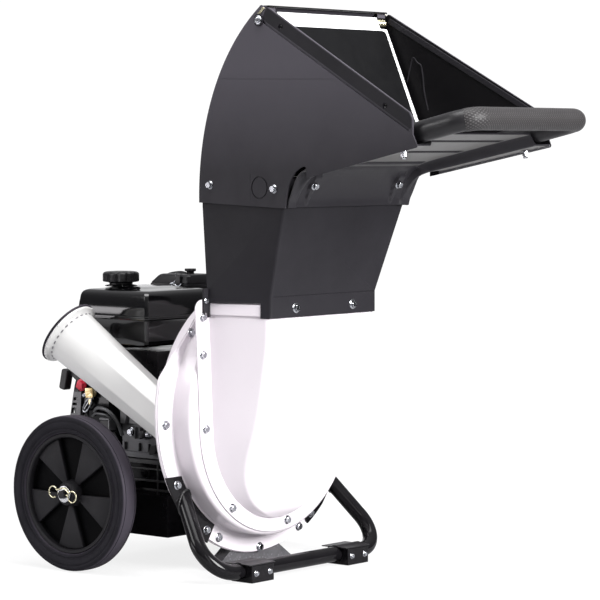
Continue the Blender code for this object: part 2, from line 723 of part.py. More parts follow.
def handle():
    """U handle: two arms on the ramp inside the side panels and a cross bar."""
    x_end = 694.0

    def z_at(x):
        return HANDLE_Z - (HANDLE_X - x) * HANDLE_SLOPE
    path = rounded_path([(x_end, -HANDLE_Y, z_at(x_end)), (HANDLE_X, -HANDLE_Y, z_at(HANDLE_X)),
                         (HANDLE_X, HANDLE_Y, z_at(HANDLE_X)), (x_end, HANDLE_Y, z_at(x_end))], 36, 5)
    put("handle", tube(path, HANDLE_R, 16), PLASTIC)
    # grip: sleeve over the cross bar that reaches into both bends
    outer = tube_rings(path, HANDLE_R + 2.2, 16)[3:11]
    inner = tube_rings(path, HANDLE_R + GAP, 16)[3:11]
    put("handle_grip", loft(outer + inner[::-1], loop=True), GRIP)


def flap():
    o = (ROD[0], 0, ROD[1])
    yi = panel_y(ROD[0] - 5, -PANEL_T - 0.3)
    put("flap_rod", rod(-yi, yi, 5, o, (0, 1, 0), 12), STEEL, o)
    # flap plate hangs in front of the rod, inclined forward
    c, s_ = math.cos(FLAP_TILT), math.sin(FLAP_TILT)
    # local: along = down the plate, out = towards the mouth
    along = Vector((s_, 0, -c))
    out = Vector((c, 0, s_))

    def pt(u, v, w):
        return Vector(o) + along * u + out * v + Vector((0, w, 0))
    wt, wb = 150.0, 172.0
    outline = [(-8.5, wt), (16, wt), (16, 170), (FLAP_LEN, wb), (FLAP_LEN, -wb), (16, -170), (16, -wt), (-8.5, -wt)]
    rings = [[pt(u, v, w) for u, w in outline] for v in (6.0, 8.2)]
    ob = put("leaf_flap", loft(rings), WHITE, o)
    barrel = [(5.4, -wt), (8.2, -wt), (8.2, wt), (5.4, wt)]
    boolean(ob, turned(barrel, o, (0, 1, 0), 16, closed=True), "UNION")
    for s in (-1, 1):
        # torsion spring round the rod in the flap's corner notch
        path = []
        turns, steps = 3, 8
        for k in range(turns * steps + 1):
            a = 2 * math.pi * k / steps
            path.append((o[0] + 7.6 * math.cos(a), s * (153.5 + 12.5 * k / (turns * steps)), o[2] + 7.6 * math.sin(a)))
        put("flap_spring_" + side(s), tube(path, 1.3, 5), YZINC, o)


# ---------------------------------------------------------------- engine
def engine():
    o = (0, 0, SHAFT_Z)
    xs = [-46, -30, 112, 130]
    ys = [-100, -90, 78]
    zs = [207, 217, 330, 372]

    def filled(x, y, z):
        if y < -90:
            return z < 217
        if z > 330:
            return -30 < x < 112
        return True
    ob = put("crankcase", cells(xs, ys, zs, filled), CAST)
    boolean(ob, turned([(0, 128), (62, 128), (62, 149.6), (0, 149.6)], o, (1, 0, 0), 28), "UNION")
    boolean(ob, rod(121, 170, 12.95, o, (1, 0, 0), 20))

    # cylinder, inclined 25 degrees above the horizontal towards +Y
    tilt = Matrix.Translation(Vector((38, 0, SHAFT_Z))) @ Matrix.Rotation(math.radians(25), 4, "X")
    ys = [106]
    for k in range(7):
        ys += [116 + 12 * k, 120 + 12 * k]
    ys.append(200)
    ys = sorted(set(ys))
    xs = [-48, -30, 30, 48]
    zs = [-44, -30, 30, 44]

    def fin(x, y, z):
        if abs(x) < 30 and abs(z) < 30:
            return True
        return any(116 + 12 * k < y < 120 + 12 * k for k in range(7))
    put("cylinder", cells(xs, ys, zs, fin, tilt), CAST)
    ob = put("valve_cover", cells([-36, 36], [200.4, 226], [-34, 34], lambda *a: True, tilt), DARK)
    m = ob.modifiers.new("soft_edges", "BEVEL")
    m.width = 0.006
    m.segments = 2

    # flywheel inside the fan shroud, on the rear end of the crankshaft
    put("flywheel", turned([(0, -46.6), (14, -46.6), (14, -78), (96, -84), (96, -104), (30, -108), (12, -116),
                            (0, -116)], o, (1, 0, 0), 32), HARD, o)
    # fan shroud: round fan housing open to the front plus a hood over the crankcase
    prof = [(113, -58), (116.5, -58), (116.5, -150), (18, -150), (18, -146.5), (113, -146.5)]
    ob = put("fan_shroud", turned(prof, o, (1, 0, 0), 32, closed=True), BLACK)
    boolean(ob, cells([-62, 72], [-113, -106, 70], [330, 388, 423], lambda x, y, z: z > 388 or y < -106), "UNION")
    put("recoil_cover", turned([(22, -150.4), (108, -150.4), (108, -166), (96, -176), (40, -182), (0, -182),
                                      (0, -178.5), (39, -178.5), (94, -173), (104.5, -164.5), (104.5, -153.5),
                                      (22, -153.5)], o, (1, 0, 0), 28, closed=True), BLACK)
    gx, gy, gz = -174, -120, 356
    put("recoil_grip", prism(rounded_poly([(gx - 13, gz - 19), (gx + 4, gz - 23), (gx + 13, gz + 18),
                                                (gx - 4, gz + 22)], 4, 2), gy - 10, gy + 9, "Y"), DARK, (gx, gy, gz))

    # fuel tank: rounded block with a seam flange
    def tank_ring(z, inset, r=22):
        poly = rounded_poly([(-141 + inset, -130 + inset), (60 - inset, -130 + inset), (60 - inset, 74 - inset),
                             (-141 + inset, 74 - inset)], r, 4)
        return [(p[0], p[1], z) for p in poly]
    rings = [tank_ring(430, 18, 18), tank_ring(437, 12), tank_ring(484, 6), tank_ring(485, 0), tank_ring(491, 0),
             tank_ring(492, 3), tank_ring(535, 5), tank_ring(543, 9), tank_ring(547, 18, 18)]
    put("fuel_tank", loft(rings), GLOSS)
    co = (-77, -60, 547.4)
    n = 28
    prof = [(23, 0), (23, 6), (37, 8), (37, 24), (33, 28.5), (0, 28.5)]
    bm = new_mesh()
    rows = []
    for r, h in [(0, 0)] + prof:
        if r == 0:
            rows.append([bm.verts.new((co[0], co[1], co[2] + h))])
            continue
        row = []
        for i in range(n):
            rr = r - (2.0 if (i % 4 == 0 and 8 <= h <= 24) else 0.0)
            a = 2 * math.pi * i / n
            row.append(bm.verts.new((co[0] + rr * math.cos(a), co[1] + rr * math.sin(a), co[2] + h)))
        rows.append(row)
    for a, b in zip(rows[:-1], rows[1:]):
        for i in range(n):
            j = (i + 1) % n
            if len(a) == 1:
                bm.faces.new((a[0], b[j], b[i]))
            elif len(b) == 1:
                bm.faces.new((a[i], a[j], b[0]))
            else:
                bm.faces.new((a[i], a[j], b[j], b[i]))
    put("fuel_cap", bm, DARK, co)

    # air cleaner on the far side, with its wing knob; carburettor below
    ac = rounded_poly([(-150, 84), (-24, 84), (-24, 160), (-150, 160)], 14, 3)
    rings = [[(x, y, 478) for x, y in ac], [(x, y, 551) for x, y in ac],
             [(-87 + (x + 87) * 0.86, 122 + (y - 122) * 0.84, 565) for x, y in ac]]
    put("air_cleaner", loft(rings), DARK)
    ko = (-58, 128, 565.4)
    put("air_cleaner_knob", turned([(0, 0), (8, 0), (8, 4), (12, 5), (12, 10), (0, 10)], ko, (0, 0, 1), 12), DARK, ko)
    put("carburettor", cells([-96, -80, -58, -46], [98, 106, 140, 148], [426, 440, 470, 477.6],
                             lambda x, y, z: (-80 < x < -58) or (106 < y < 140 and 440 < z < 470) or
                             (106 < y < 140 and z > 470)), CAST)
    ob = put("muffler", cells([-14, 92], [98, 178], [452, 520], lambda *a: True), HARD)
    m = ob.modifiers.new("soft_edges", "BEVEL")
    m.width = 0.012
    m.segments = 3
    po = tilt @ Vector((-48.4, 176, 10))
    pdir = tilt.to_3x3() @ Vector((-1, 0, 0))
    put("spark_plug_cap", turned([(0, 0), (7, 0), (7, 12), (10, 14), (10, 34), (6, 38), (0, 38)], po, pdir, 12), DARK,
        po)

    do = (26, -90.4, 255)
    put("oil_dipstick", turned([(0, 0), (11, 0), (11, 5), (7.5, 6), (7.5, 20), (0, 22)], do, (0, -1, 0), 12), STEEL, do)
    # engine switch: turning knob on the shroud's near side
    so = (-132, -116.9, 346)
    put("engine_switch", cells([-143, -136, -128, -121], [-127, -122, -116.9], [333, 341, 351, 359],
                               lambda x, y, z: y > -122 or 341 < z < 351), RED, so)
    # fuel valve on the shroud's near side, its lever hanging down
    fo = (-100, -117.2, 331)
    put("fuel_valve_lever", cells([-106, -103, -97, -94], [-127, -122, -117.2], [303, 323, 339],
                                  lambda x, y, z: z > 323 or (y < -122 and -103 < x < -97)), BRASS, fo)
    # choke and throttle levers on the carburettor's outer side
    ch = (-69, 148.4, 455)
    put("choke_lever", cells([-73, -65], [148.4, 152, 156], [424, 451, 459], lambda x, y, z: z > 451 or y > 152),
        STEEL, ch)
    th = (-69, 97.6, 447)
    put("throttle_lever", cells([-73, -65], [86, 91, 97.6], [443, 451, 474], lambda x, y, z: z < 451 or y < 91),
        STEEL, th)


base_frame()
axle()
for side_sign in (-1, 1):
    wheel(side_sign)
    hitch_pin(side_sign)
stand()
housing()
chute()
cone()
discharge()
rotor()
adapter()
for side_sign in (-1, 1):
    side_panel(side_sign)
hopper_back()
ramp()
handle()
flap()
engine()
bpy.context.view_layer.update()
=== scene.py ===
# Looks of the petrol garden shredder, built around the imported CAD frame.
# Helper meshes are drawn in millimetres in the design frame (X = 0 on the wheel axle) and
# converted to the frame's metres when a piece is made.
import bpy
import bmesh
import json
import math
from mathutils import Vector, Matrix

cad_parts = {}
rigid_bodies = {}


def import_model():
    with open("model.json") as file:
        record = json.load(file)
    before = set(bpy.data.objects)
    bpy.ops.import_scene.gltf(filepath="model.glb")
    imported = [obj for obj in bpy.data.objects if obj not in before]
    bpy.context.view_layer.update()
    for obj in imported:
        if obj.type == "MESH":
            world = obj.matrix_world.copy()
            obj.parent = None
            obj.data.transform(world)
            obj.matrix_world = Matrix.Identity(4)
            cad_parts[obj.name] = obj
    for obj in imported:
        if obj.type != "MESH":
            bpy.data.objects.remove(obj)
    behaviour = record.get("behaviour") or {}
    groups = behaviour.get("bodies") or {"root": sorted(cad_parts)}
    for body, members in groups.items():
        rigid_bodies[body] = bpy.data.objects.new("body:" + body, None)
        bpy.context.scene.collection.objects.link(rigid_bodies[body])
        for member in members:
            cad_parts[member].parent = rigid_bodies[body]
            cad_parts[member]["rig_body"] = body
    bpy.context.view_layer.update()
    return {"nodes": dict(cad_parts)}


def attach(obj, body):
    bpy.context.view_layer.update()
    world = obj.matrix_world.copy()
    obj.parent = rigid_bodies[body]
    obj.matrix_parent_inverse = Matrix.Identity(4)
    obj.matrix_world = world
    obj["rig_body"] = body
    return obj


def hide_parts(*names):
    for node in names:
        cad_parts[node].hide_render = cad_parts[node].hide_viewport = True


for _o in list(bpy.data.objects):
    bpy.data.objects.remove(_o, do_unlink=True)
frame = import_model()
NODES = frame["nodes"]
X_SHIFT = -358.1
GAP = 0.35


# ================================================================= camera, floor, light
def to_world(x, y, z):
    return Vector(((x + X_SHIFT) * 0.001, y * 0.001, z * 0.001))


def make_camera():
    a, e = math.radians(39.89), math.radians(3.26)
    back = Vector((math.sin(a) * math.cos(e), -math.cos(a) * math.cos(e), math.sin(e)))
    target = Vector((-0.01285, 0.0, 0.53040))
    data = bpy.data.cameras.new("camera")
    cam = bpy.data.objects.new("camera", data)
    bpy.context.scene.collection.objects.link(cam)
    cam.location = target + back * 5.26642
    cam.rotation_mode = "QUATERNION"
    cam.rotation_quaternion = (-back).to_track_quat("-Z", "Y")
    data.lens = 162.65
    data.sensor_width = 36.0
    data.clip_start, data.clip_end = 0.05, 100.0
    bpy.context.scene.camera = cam


def area_light(name, loc, target, size_x, size_y, watts, colour=(1, 1, 1)):
    data = bpy.data.lights.new(name, "AREA")
    data.shape = "RECTANGLE"
    data.size, data.size_y = size_x, size_y
    data.energy = watts
    data.color = colour
    ob = bpy.data.objects.new(name, data)
    bpy.context.scene.collection.objects.link(ob)
    ob.location = loc
    ob.rotation_mode = "QUATERNION"
    ob.rotation_quaternion = (Vector(target) - Vector(loc)).to_track_quat("-Z", "Y")
    return ob


def make_light():
    scene = bpy.context.scene
    world = bpy.data.worlds.new("studio")
    scene.world = world
    world.use_nodes = True
    nt = world.node_tree
    nt.nodes.clear()
    out = nt.nodes.new("ShaderNodeOutputWorld")
    mix = nt.nodes.new("ShaderNodeMixShader")
    seen = nt.nodes.new("ShaderNodeBackground")
    seen.inputs["Color"].default_value = (1.0, 1.0, 1.0, 1.0)
    seen.inputs["Strength"].default_value = 1.05
    room = nt.nodes.new("ShaderNodeBackground")
    path = nt.nodes.new("ShaderNodeLightPath")
    coord = nt.nodes.new("ShaderNodeTexCoord")
    sep = nt.nodes.new("ShaderNodeSeparateXYZ")
    ramp = nt.nodes.new("ShaderNodeValToRGB")
    ramp.color_ramp.elements[0].position = 0.44
    ramp.color_ramp.elements[0].color = (0.045, 0.045, 0.047, 1)
    ramp.color_ramp.elements[1].position = 0.98
    ramp.color_ramp.elements[1].color = (0.85, 0.85, 0.87, 1)
    low = ramp.color_ramp.elements.new(0.54)
    low.color = (0.10, 0.10, 0.105, 1)
    mid = ramp.color_ramp.elements.new(0.72)
    mid.color = (0.30, 0.30, 0.31, 1)
    half = nt.nodes.new("ShaderNodeMapRange")
    half.inputs["From Min"].default_value = -1.0
    half.inputs["From Max"].default_value = 1.0
    nt.links.new(coord.outputs["Generated"], sep.inputs["Vector"])
    nt.links.new(sep.outputs["Z"], half.inputs["Value"])
    nt.links.new(half.outputs["Result"], ramp.inputs["Fac"])
    # pale backdrop behind the object, as the camera sees it
    dot = nt.nodes.new("ShaderNodeVectorMath")
    dot.operation = "DOT_PRODUCT"
    dot.inputs[1].default_value = (-0.640, 0.766, -0.05)
    wall = nt.nodes.new("ShaderNodeMapRange")
    wall.interpolation_type = "SMOOTHSTEP"
    wall.inputs["From Min"].default_value = 0.78
    wall.inputs["From Max"].default_value = 0.93
    both = nt.nodes.new("ShaderNodeMix")
    both.data_type = "RGBA"
    both.inputs["B"].default_value = (1.1, 1.1, 1.12, 1)
    nt.links.new(coord.outputs["Generated"], dot.inputs[0])
    nt.links.new(dot.outputs["Value"], wall.inputs["Value"])
    nt.links.new(wall.outputs["Result"], both.inputs["Factor"])
    nt.links.new(ramp.outputs["Color"], both.inputs["A"])
    nt.links.new(both.outputs["Result"], room.inputs["Color"])
    room.inputs["Strength"].default_value = 0.75
    nt.links.new(path.outputs["Is Camera Ray"], mix.inputs["Fac"])
    nt.links.new(room.outputs["Background"], mix.inputs[1])
    nt.links.new(seen.outputs["Background"], mix.inputs[2])
    nt.links.new(mix.outputs["Shader"], out.inputs["Surface"])

    # soft boxes: the key in front of the hopper, one over the object, a tall one on the left, a low one at the left
    area_light("key_softbox", (3.95, 0.15, 1.9), (0.1, 0, 0.55), 1.6, 2.0, 340, (1.0, 1.0, 1.0))
    area_light("top_softbox", (0.3, -0.4, 3.6), (0, 0, 0.4), 2.6, 2.2, 95, (1.0, 1.0, 1.0))
    area_light("left_softbox", (-2.0, -3.3, 2.4), (0.0, 0, 0.6), 2.0, 1.2, 52, (1.0, 1.0, 1.0))
    area_light("low_softbox", (-2.9, -3.1, 0.25), (-0.1, 0, 0.45), 2.6, 0.75, 26, (1.0, 0.97, 1.0))
    area_light("strip_softbox", (3.14, -2.63, 1.15), (0, 0, 0.45), 0.30, 2.5, 12, (1.0, 1.0, 1.0))
    scene.view_settings.view_transform = "Standard"
    scene.view_settings.look = "None"


def make_floor():
    bm = bmesh.new()
    n, rings = 96, [0.0, 0.6, 1.2, 1.8, 2.6, 3.6]
    rows = []
    for r in rings:
        rows.append([bm.verts.new((0, 0, 0))] if r == 0 else
                    [bm.verts.new((r * math.cos(2 * math.pi * i / n), r * math.sin(2 * math.pi * i / n), 0))
                     for i in range(n)])
    for a, b in zip(rows[:-1], rows[1:]):
        for i in range(n):
            j = (i + 1) % n
            bm.faces.new((a[0], b[i], b[j]) if len(a) == 1 else (a[i], b[i], b[j], a[j]))
    me = bpy.data.meshes.new("floor")
    bm.to_mesh(me)
    bm.free()
    ob = bpy.data.objects.new("floor", me)
    bpy.context.scene.collection.objects.link(ob)
    ob.location = (0, 0, -0.0006)
    m = bpy.data.materials.new("studio_floor")
    m.use_nodes = True
    nt = m.node_tree
    b = nt.nodes["Principled BSDF"]
    b.inputs["Roughness"].default_value = 0.75
    b.inputs["Specular IOR Level"].default_value = 0.2
    tc = nt.nodes.new("ShaderNodeTexCoord")
    noise = nt.nodes.new("ShaderNodeTexNoise")
    noise.inputs["Scale"].default_value = 0.8
    noise.inputs["Detail"].default_value = 3.0
    ramp = nt.nodes.new("ShaderNodeValToRGB")
    ramp.color_ramp.elements[0].color = (0.955, 0.955, 0.958, 1)
    ramp.color_ramp.elements[1].color = (0.985, 0.985, 0.987, 1)
    nt.links.new(tc.outputs["Object"], noise.inputs["Vector"])
    nt.links.new(noise.outputs["Fac"], ramp.inputs["Fac"])
    nt.links.new(ramp.outputs["Color"], b.inputs["Base Color"])
    # the floor runs out into the pale backdrop, and throws little light back at the object
    leng = nt.nodes.new("ShaderNodeVectorMath")
    leng.operation = "LENGTH"
    fade = nt.nodes.new("ShaderNodeMapRange")
    fade.interpolation_type = "SMOOTHSTEP"
    fade.inputs["From Min"].default_value = 0.9
    fade.inputs["From Max"].default_value = 3.4
    clear = nt.nodes.new("ShaderNodeBsdfTransparent")
    mix = nt.nodes.new("ShaderNodeMixShader")
    dim = nt.nodes.new("ShaderNodeBsdfDiffuse")
    dim.inputs["Color"].default_value = (0.46, 0.46, 0.47, 1)
    path = nt.nodes.new("ShaderNodeLightPath")
    seen = nt.nodes.new("ShaderNodeMixShader")
    nt.links.new(tc.outputs["Object"], leng.inputs[0])
    nt.links.new(leng.outputs["Value"], fade.inputs["Value"])
    nt.links.new(path.outputs["Is Camera Ray"], seen.inputs["Fac"])
    nt.links.new(dim.outputs["BSDF"], seen.inputs[1])
    glow = nt.nodes.new("ShaderNodeEmission")
    glow.inputs["Color"].default_value = (1.0, 1.0, 1.0, 1)
    glow.inputs["Strength"].default_value = 1.03
    pale = nt.nodes.new("ShaderNodeMixShader")
    pale.inputs["Fac"].default_value = 0.80
    nt.links.new(b.outputs["BSDF"], pale.inputs[1])
    nt.links.new(glow.outputs["Emission"], pale.inputs[2])
    nt.links.new(pale.outputs["Shader"], seen.inputs[2])
    nt.links.new(fade.outputs["Result"], mix.inputs["Fac"])
    nt.links.new(seen.outputs["Shader"], mix.inputs[1])
    nt.links.new(clear.outputs["BSDF"], mix.inputs[2])
    nt.links.new(mix.outputs["Shader"], nt.nodes["Material Output"].inputs["Surface"])
    me.materials.append(m)


# ================================================================= materials
MATS = {}


def surface(name, colour, rough, metal=0.0, coat=0.0, coat_rough=0.1, vary=0.08, patch=9.0, grain=1400.0,
            bump=0.12, depth=0.00012, rough_vary=0.06, wear=None, wear_at=0.56, speck=None, brushed=None,
            second=None, ior=1.5, spec=0.5, painted_top_light=None, painted_inner_shade=None, painted_recess_shade=None,
            painted_underside_light=None, painted_tread_light=None):
    """Procedural finish: slow colour change, fine grain in the bump, uneven gloss, and worn edges; options paint light
    and shade into the colour (paler tops, undersides and treads, darker inner faces and recesses).
    """
    m = bpy.data.materials.new(name)
    m.use_nodes = True
    nt = m.node_tree
    nd, ln = nt.nodes, nt.links
    b = nd["Principled BSDF"]
    b.inputs["Metallic"].default_value = metal
    b.inputs["IOR"].default_value = ior
    b.inputs["Specular IOR Level"].default_value = spec
    if coat:
        b.inputs["Coat Weight"].default_value = coat
        b.inputs["Coat Roughness"].default_value = coat_rough
    tc = nd.new("ShaderNodeTexCoord")
    src = tc.outputs["Object"]
    if brushed:
        mp = nd.new("ShaderNodeMapping")
        mp.inputs["Scale"].default_value = brushed
        ln.new(tc.outputs["Object"], mp.inputs["Vector"])
        src = mp.outputs["Vector"]
    # slow patches of colour
    n1 = nd.new("ShaderNodeTexNoise")
    n1.inputs["Scale"].default_value = patch
    n1.inputs["Detail"].default_value = 5.0
    n1.inputs["Roughness"].default_value = 0.6
    ln.new(tc.outputs["Object"], n1.inputs["Vector"])
    r1 = nd.new("ShaderNodeValToRGB")
    r1.color_ramp.elements[0].position = 0.30
    r1.color_ramp.elements[1].position = 0.72
    r1.color_ramp.elements[0].color = (*[c * (1 - vary) for c in colour], 1)
    r1.color_ramp.elements[1].color = (*[min(c * (1 + vary), 1) for c in (second or colour)], 1)
    ln.new(n1.outputs["Fac"], r1.inputs["Fac"])
    col = r1.outputs["Color"]
    # fine grain
    n2 = nd.new("ShaderNodeTexNoise")
    n2.inputs["Scale"].default_value = grain
    n2.inputs["Detail"].default_value = 2.0
    ln.new(src, n2.inputs["Vector"])
    if speck:
        sp = nd.new("ShaderNodeTexVoronoi")
        sp.inputs["Scale"].default_value = speck[0]
        ln.new(tc.outputs["Object"], sp.inputs["Vector"])
        sr = nd.new("ShaderNodeValToRGB")
        sr.color_ramp.elements[0].position = 0.0
        sr.color_ramp.elements[0].color = (1, 1, 1, 1)
        sr.color_ramp.elements[1].position = speck[2]
        sr.color_ramp.elements[1].color = (0, 0, 0, 1)
        ln.new(sp.outputs["Distance"], sr.inputs["Fac"])
        mx = nd.new("ShaderNodeMix")
        mx.data_type = "RGBA"
        ln.new(sr.outputs["Color"], mx.inputs["Factor"])
        ln.new(col, mx.inputs["A"])
        mx.inputs["B"].default_value = (*speck[1], 1)
        col = mx.outputs["Result"]
    if wear:
        geo = nd.new("ShaderNodeNewGeometry")
        n3 = nd.new("ShaderNodeTexNoise")
        n3.inputs["Scale"].default_value = 130.0
        n3.inputs["Detail"].default_value = 4.0
        ln.new(tc.outputs["Object"], n3.inputs["Vector"])
        add = nd.new("ShaderNodeMath")
        add.operation = "MULTIPLY_ADD"
        add.inputs[1].default_value = 0.10
        ln.new(n3.outputs["Fac"], add.inputs[0])
        ln.new(geo.outputs["Pointiness"], add.inputs[2])
        wr = nd.new("ShaderNodeValToRGB")
        wr.color_ramp.elements[0].position = wear_at
        wr.color_ramp.elements[0].color = (0, 0, 0, 1)
        wr.color_ramp.elements[1].position = wear_at + 0.09
        wr.color_ramp.elements[1].color = (1, 1, 1, 1)
        ln.new(add.outputs["Value"], wr.inputs["Fac"])
        mw = nd.new("ShaderNodeMix")
        mw.data_type = "RGBA"
        ln.new(wr.outputs["Color"], mw.inputs["Factor"])
        ln.new(col, mw.inputs["A"])
        mw.inputs["B"].default_value = (*wear, 1)
        col = mw.outputs["Result"]
    if painted_top_light:
        # painted light: colour paler towards the top of the part, standing in for sheen and light falling from above
        sz = nd.new("ShaderNodeSeparateXYZ")
        ln.new(tc.outputs["Object"], sz.inputs["Vector"])
        up = nd.new("ShaderNodeMapRange")
        up.inputs["From Min"].default_value = painted_top_light[0]
        up.inputs["From Max"].default_value = painted_top_light[1]
        ln.new(sz.outputs["Z"], up.inputs["Value"])
        mu = nd.new("ShaderNodeMix")
        mu.data_type = "RGBA"
        mu.blend_type = "MIX"
        mu.inputs["B"].default_value = (*[c * painted_top_light[2] for c in colour], 1)
        ln.new(up.outputs["Result"], mu.inputs["Factor"])
        ln.new(col, mu.inputs["A"])
        col = mu.outputs["Result"]
    if painted_inner_shade:
        # painted shade: faces turned to the middle plane of the part (its inner faces) are darkened and dulled,
        # standing in for the shade inside the hopper
        sp_, sn_ = nd.new("ShaderNodeSeparateXYZ"), nd.new("ShaderNodeSeparateXYZ")
        ln.new(tc.outputs["Object"], sp_.inputs["Vector"])
        ln.new(tc.outputs["Normal"], sn_.inputs["Vector"])
        pr = nd.new("ShaderNodeMath")
        pr.operation = "MULTIPLY"
        ln.new(sp_.outputs["Y"], pr.inputs[0])
        ln.new(sn_.outputs["Y"], pr.inputs[1])
        inner_shade_mask = nd.new("ShaderNodeMapRange")
        inner_shade_mask.inputs["From Min"].default_value = -0.04
        inner_shade_mask.inputs["From Max"].default_value = -0.10
        ln.new(pr.outputs["Value"], inner_shade_mask.inputs["Value"])
        mi = nd.new("ShaderNodeMix")
        mi.data_type = "RGBA"
        mi.inputs["B"].default_value = (*painted_inner_shade, 1)
        ln.new(inner_shade_mask.outputs["Result"], mi.inputs["Factor"])
        ln.new(col, mi.inputs["A"])
        col = mi.outputs["Result"]
        inner_shade_spec = nd.new("ShaderNodeMapRange")
        inner_shade_spec.inputs["To Min"].default_value = spec
        inner_shade_spec.inputs["To Max"].default_value = 0.12
        ln.new(inner_shade_mask.outputs["Result"], inner_shade_spec.inputs["Value"])
        ln.new(inner_shade_spec.outputs["Result"], b.inputs["Specular IOR Level"])
    if painted_underside_light:
        # painted reflection: faces that look down are paler, standing in for the pale floor and backdrop reflected at a
        # grazing angle
        sn = nd.new("ShaderNodeSeparateXYZ")
        ln.new(tc.outputs["Normal"], sn.inputs["Vector"])
        underside_light_mask = nd.new("ShaderNodeMapRange")
        underside_light_mask.inputs["From Min"].default_value = -0.90
        underside_light_mask.inputs["From Max"].default_value = -0.96
        ln.new(sn.outputs["Z"], underside_light_mask.inputs["Value"])
        mn = nd.new("ShaderNodeMix")
        mn.data_type = "RGBA"
        mn.inputs["B"].default_value = (*painted_underside_light, 1)
        ln.new(underside_light_mask.outputs["Result"], mn.inputs["Factor"])
        ln.new(col, mn.inputs["A"])
        col = mn.outputs["Result"]
    if painted_tread_light:
        # painted light: the running surface is paler than the side walls, standing in for the light that the tread
        # catches
        sr_ = nd.new("ShaderNodeSeparateXYZ")
        ln.new(tc.outputs["Normal"], sr_.inputs["Vector"])
        ay = nd.new("ShaderNodeMath")
        ay.operation = "ABSOLUTE"
        ln.new(sr_.outputs["Y"], ay.inputs[0])
        tread_light_mask = nd.new("ShaderNodeMapRange")
        tread_light_mask.inputs["From Min"].default_value = 0.80
        tread_light_mask.inputs["From Max"].default_value = 0.45
        ln.new(ay.outputs["Value"], tread_light_mask.inputs["Value"])
        mr = nd.new("ShaderNodeMix")
        mr.data_type = "RGBA"
        mr.inputs["B"].default_value = (*painted_tread_light, 1)
        ln.new(tread_light_mask.outputs["Result"], mr.inputs["Factor"])
        ln.new(col, mr.inputs["A"])
        col = mr.outputs["Result"]
    if painted_recess_shade:
        # painted shade: recesses near the part's middle plane are darker and less glossy, standing in for the shade in
        # the hub's pockets
        sy = nd.new("ShaderNodeSeparateXYZ")
        ln.new(tc.outputs["Object"], sy.inputs["Vector"])
        ab = nd.new("ShaderNodeMath")
        ab.operation = "ABSOLUTE"
        ln.new(sy.outputs["Y"], ab.inputs[0])
        recess_shade_mask = nd.new("ShaderNodeMapRange")
        recess_shade_mask.inputs["From Min"].default_value = painted_recess_shade[0]
        recess_shade_mask.inputs["From Max"].default_value = painted_recess_shade[1]
        ln.new(ab.outputs["Value"], recess_shade_mask.inputs["Value"])
        md = nd.new("ShaderNodeMix")
        md.data_type = "RGBA"
        md.inputs["A"].default_value = (*painted_recess_shade[2], 1)
        ln.new(recess_shade_mask.outputs["Result"], md.inputs["Factor"])
        ln.new(col, md.inputs["B"])
        col = md.outputs["Result"]
        recess_shade_spec = nd.new("ShaderNodeMapRange")
        recess_shade_spec.inputs["To Min"].default_value = 0.03
        recess_shade_spec.inputs["To Max"].default_value = spec
        ln.new(recess_shade_mask.outputs["Result"], recess_shade_spec.inputs["Value"])
        ln.new(recess_shade_spec.outputs["Result"], b.inputs["Specular IOR Level"])
    ln.new(col, b.inputs["Base Color"])
    # gloss
    n4 = nd.new("ShaderNodeTexNoise")
    n4.inputs["Scale"].default_value = 34.0
    n4.inputs["Detail"].default_value = 6.0
    n4.inputs["Roughness"].default_value = 0.65
    ln.new(src, n4.inputs["Vector"])
    r4 = nd.new("ShaderNodeMapRange")
    r4.inputs["From Min"].default_value = 0.3
    r4.inputs["From Max"].default_value = 0.7
    r4.inputs["To Min"].default_value = max(rough - rough_vary, 0.02)
    r4.inputs["To Max"].default_value = min(rough + rough_vary, 1.0)
    ln.new(n4.outputs["Fac"], r4.inputs["Value"])
    ln.new(r4.outputs["Result"], b.inputs["Roughness"])
    bp = nd.new("ShaderNodeBump")
    bp.inputs["Strength"].default_value = bump
    bp.inputs["Distance"].default_value = depth
    ln.new(n2.outputs["Fac"], bp.inputs["Height"])
    ln.new(bp.outputs["Normal"], b.inputs["Normal"])
    m.diffuse_color = (*colour, 1)
    MATS[name] = m
    return m, nt, b, tc, bp, col


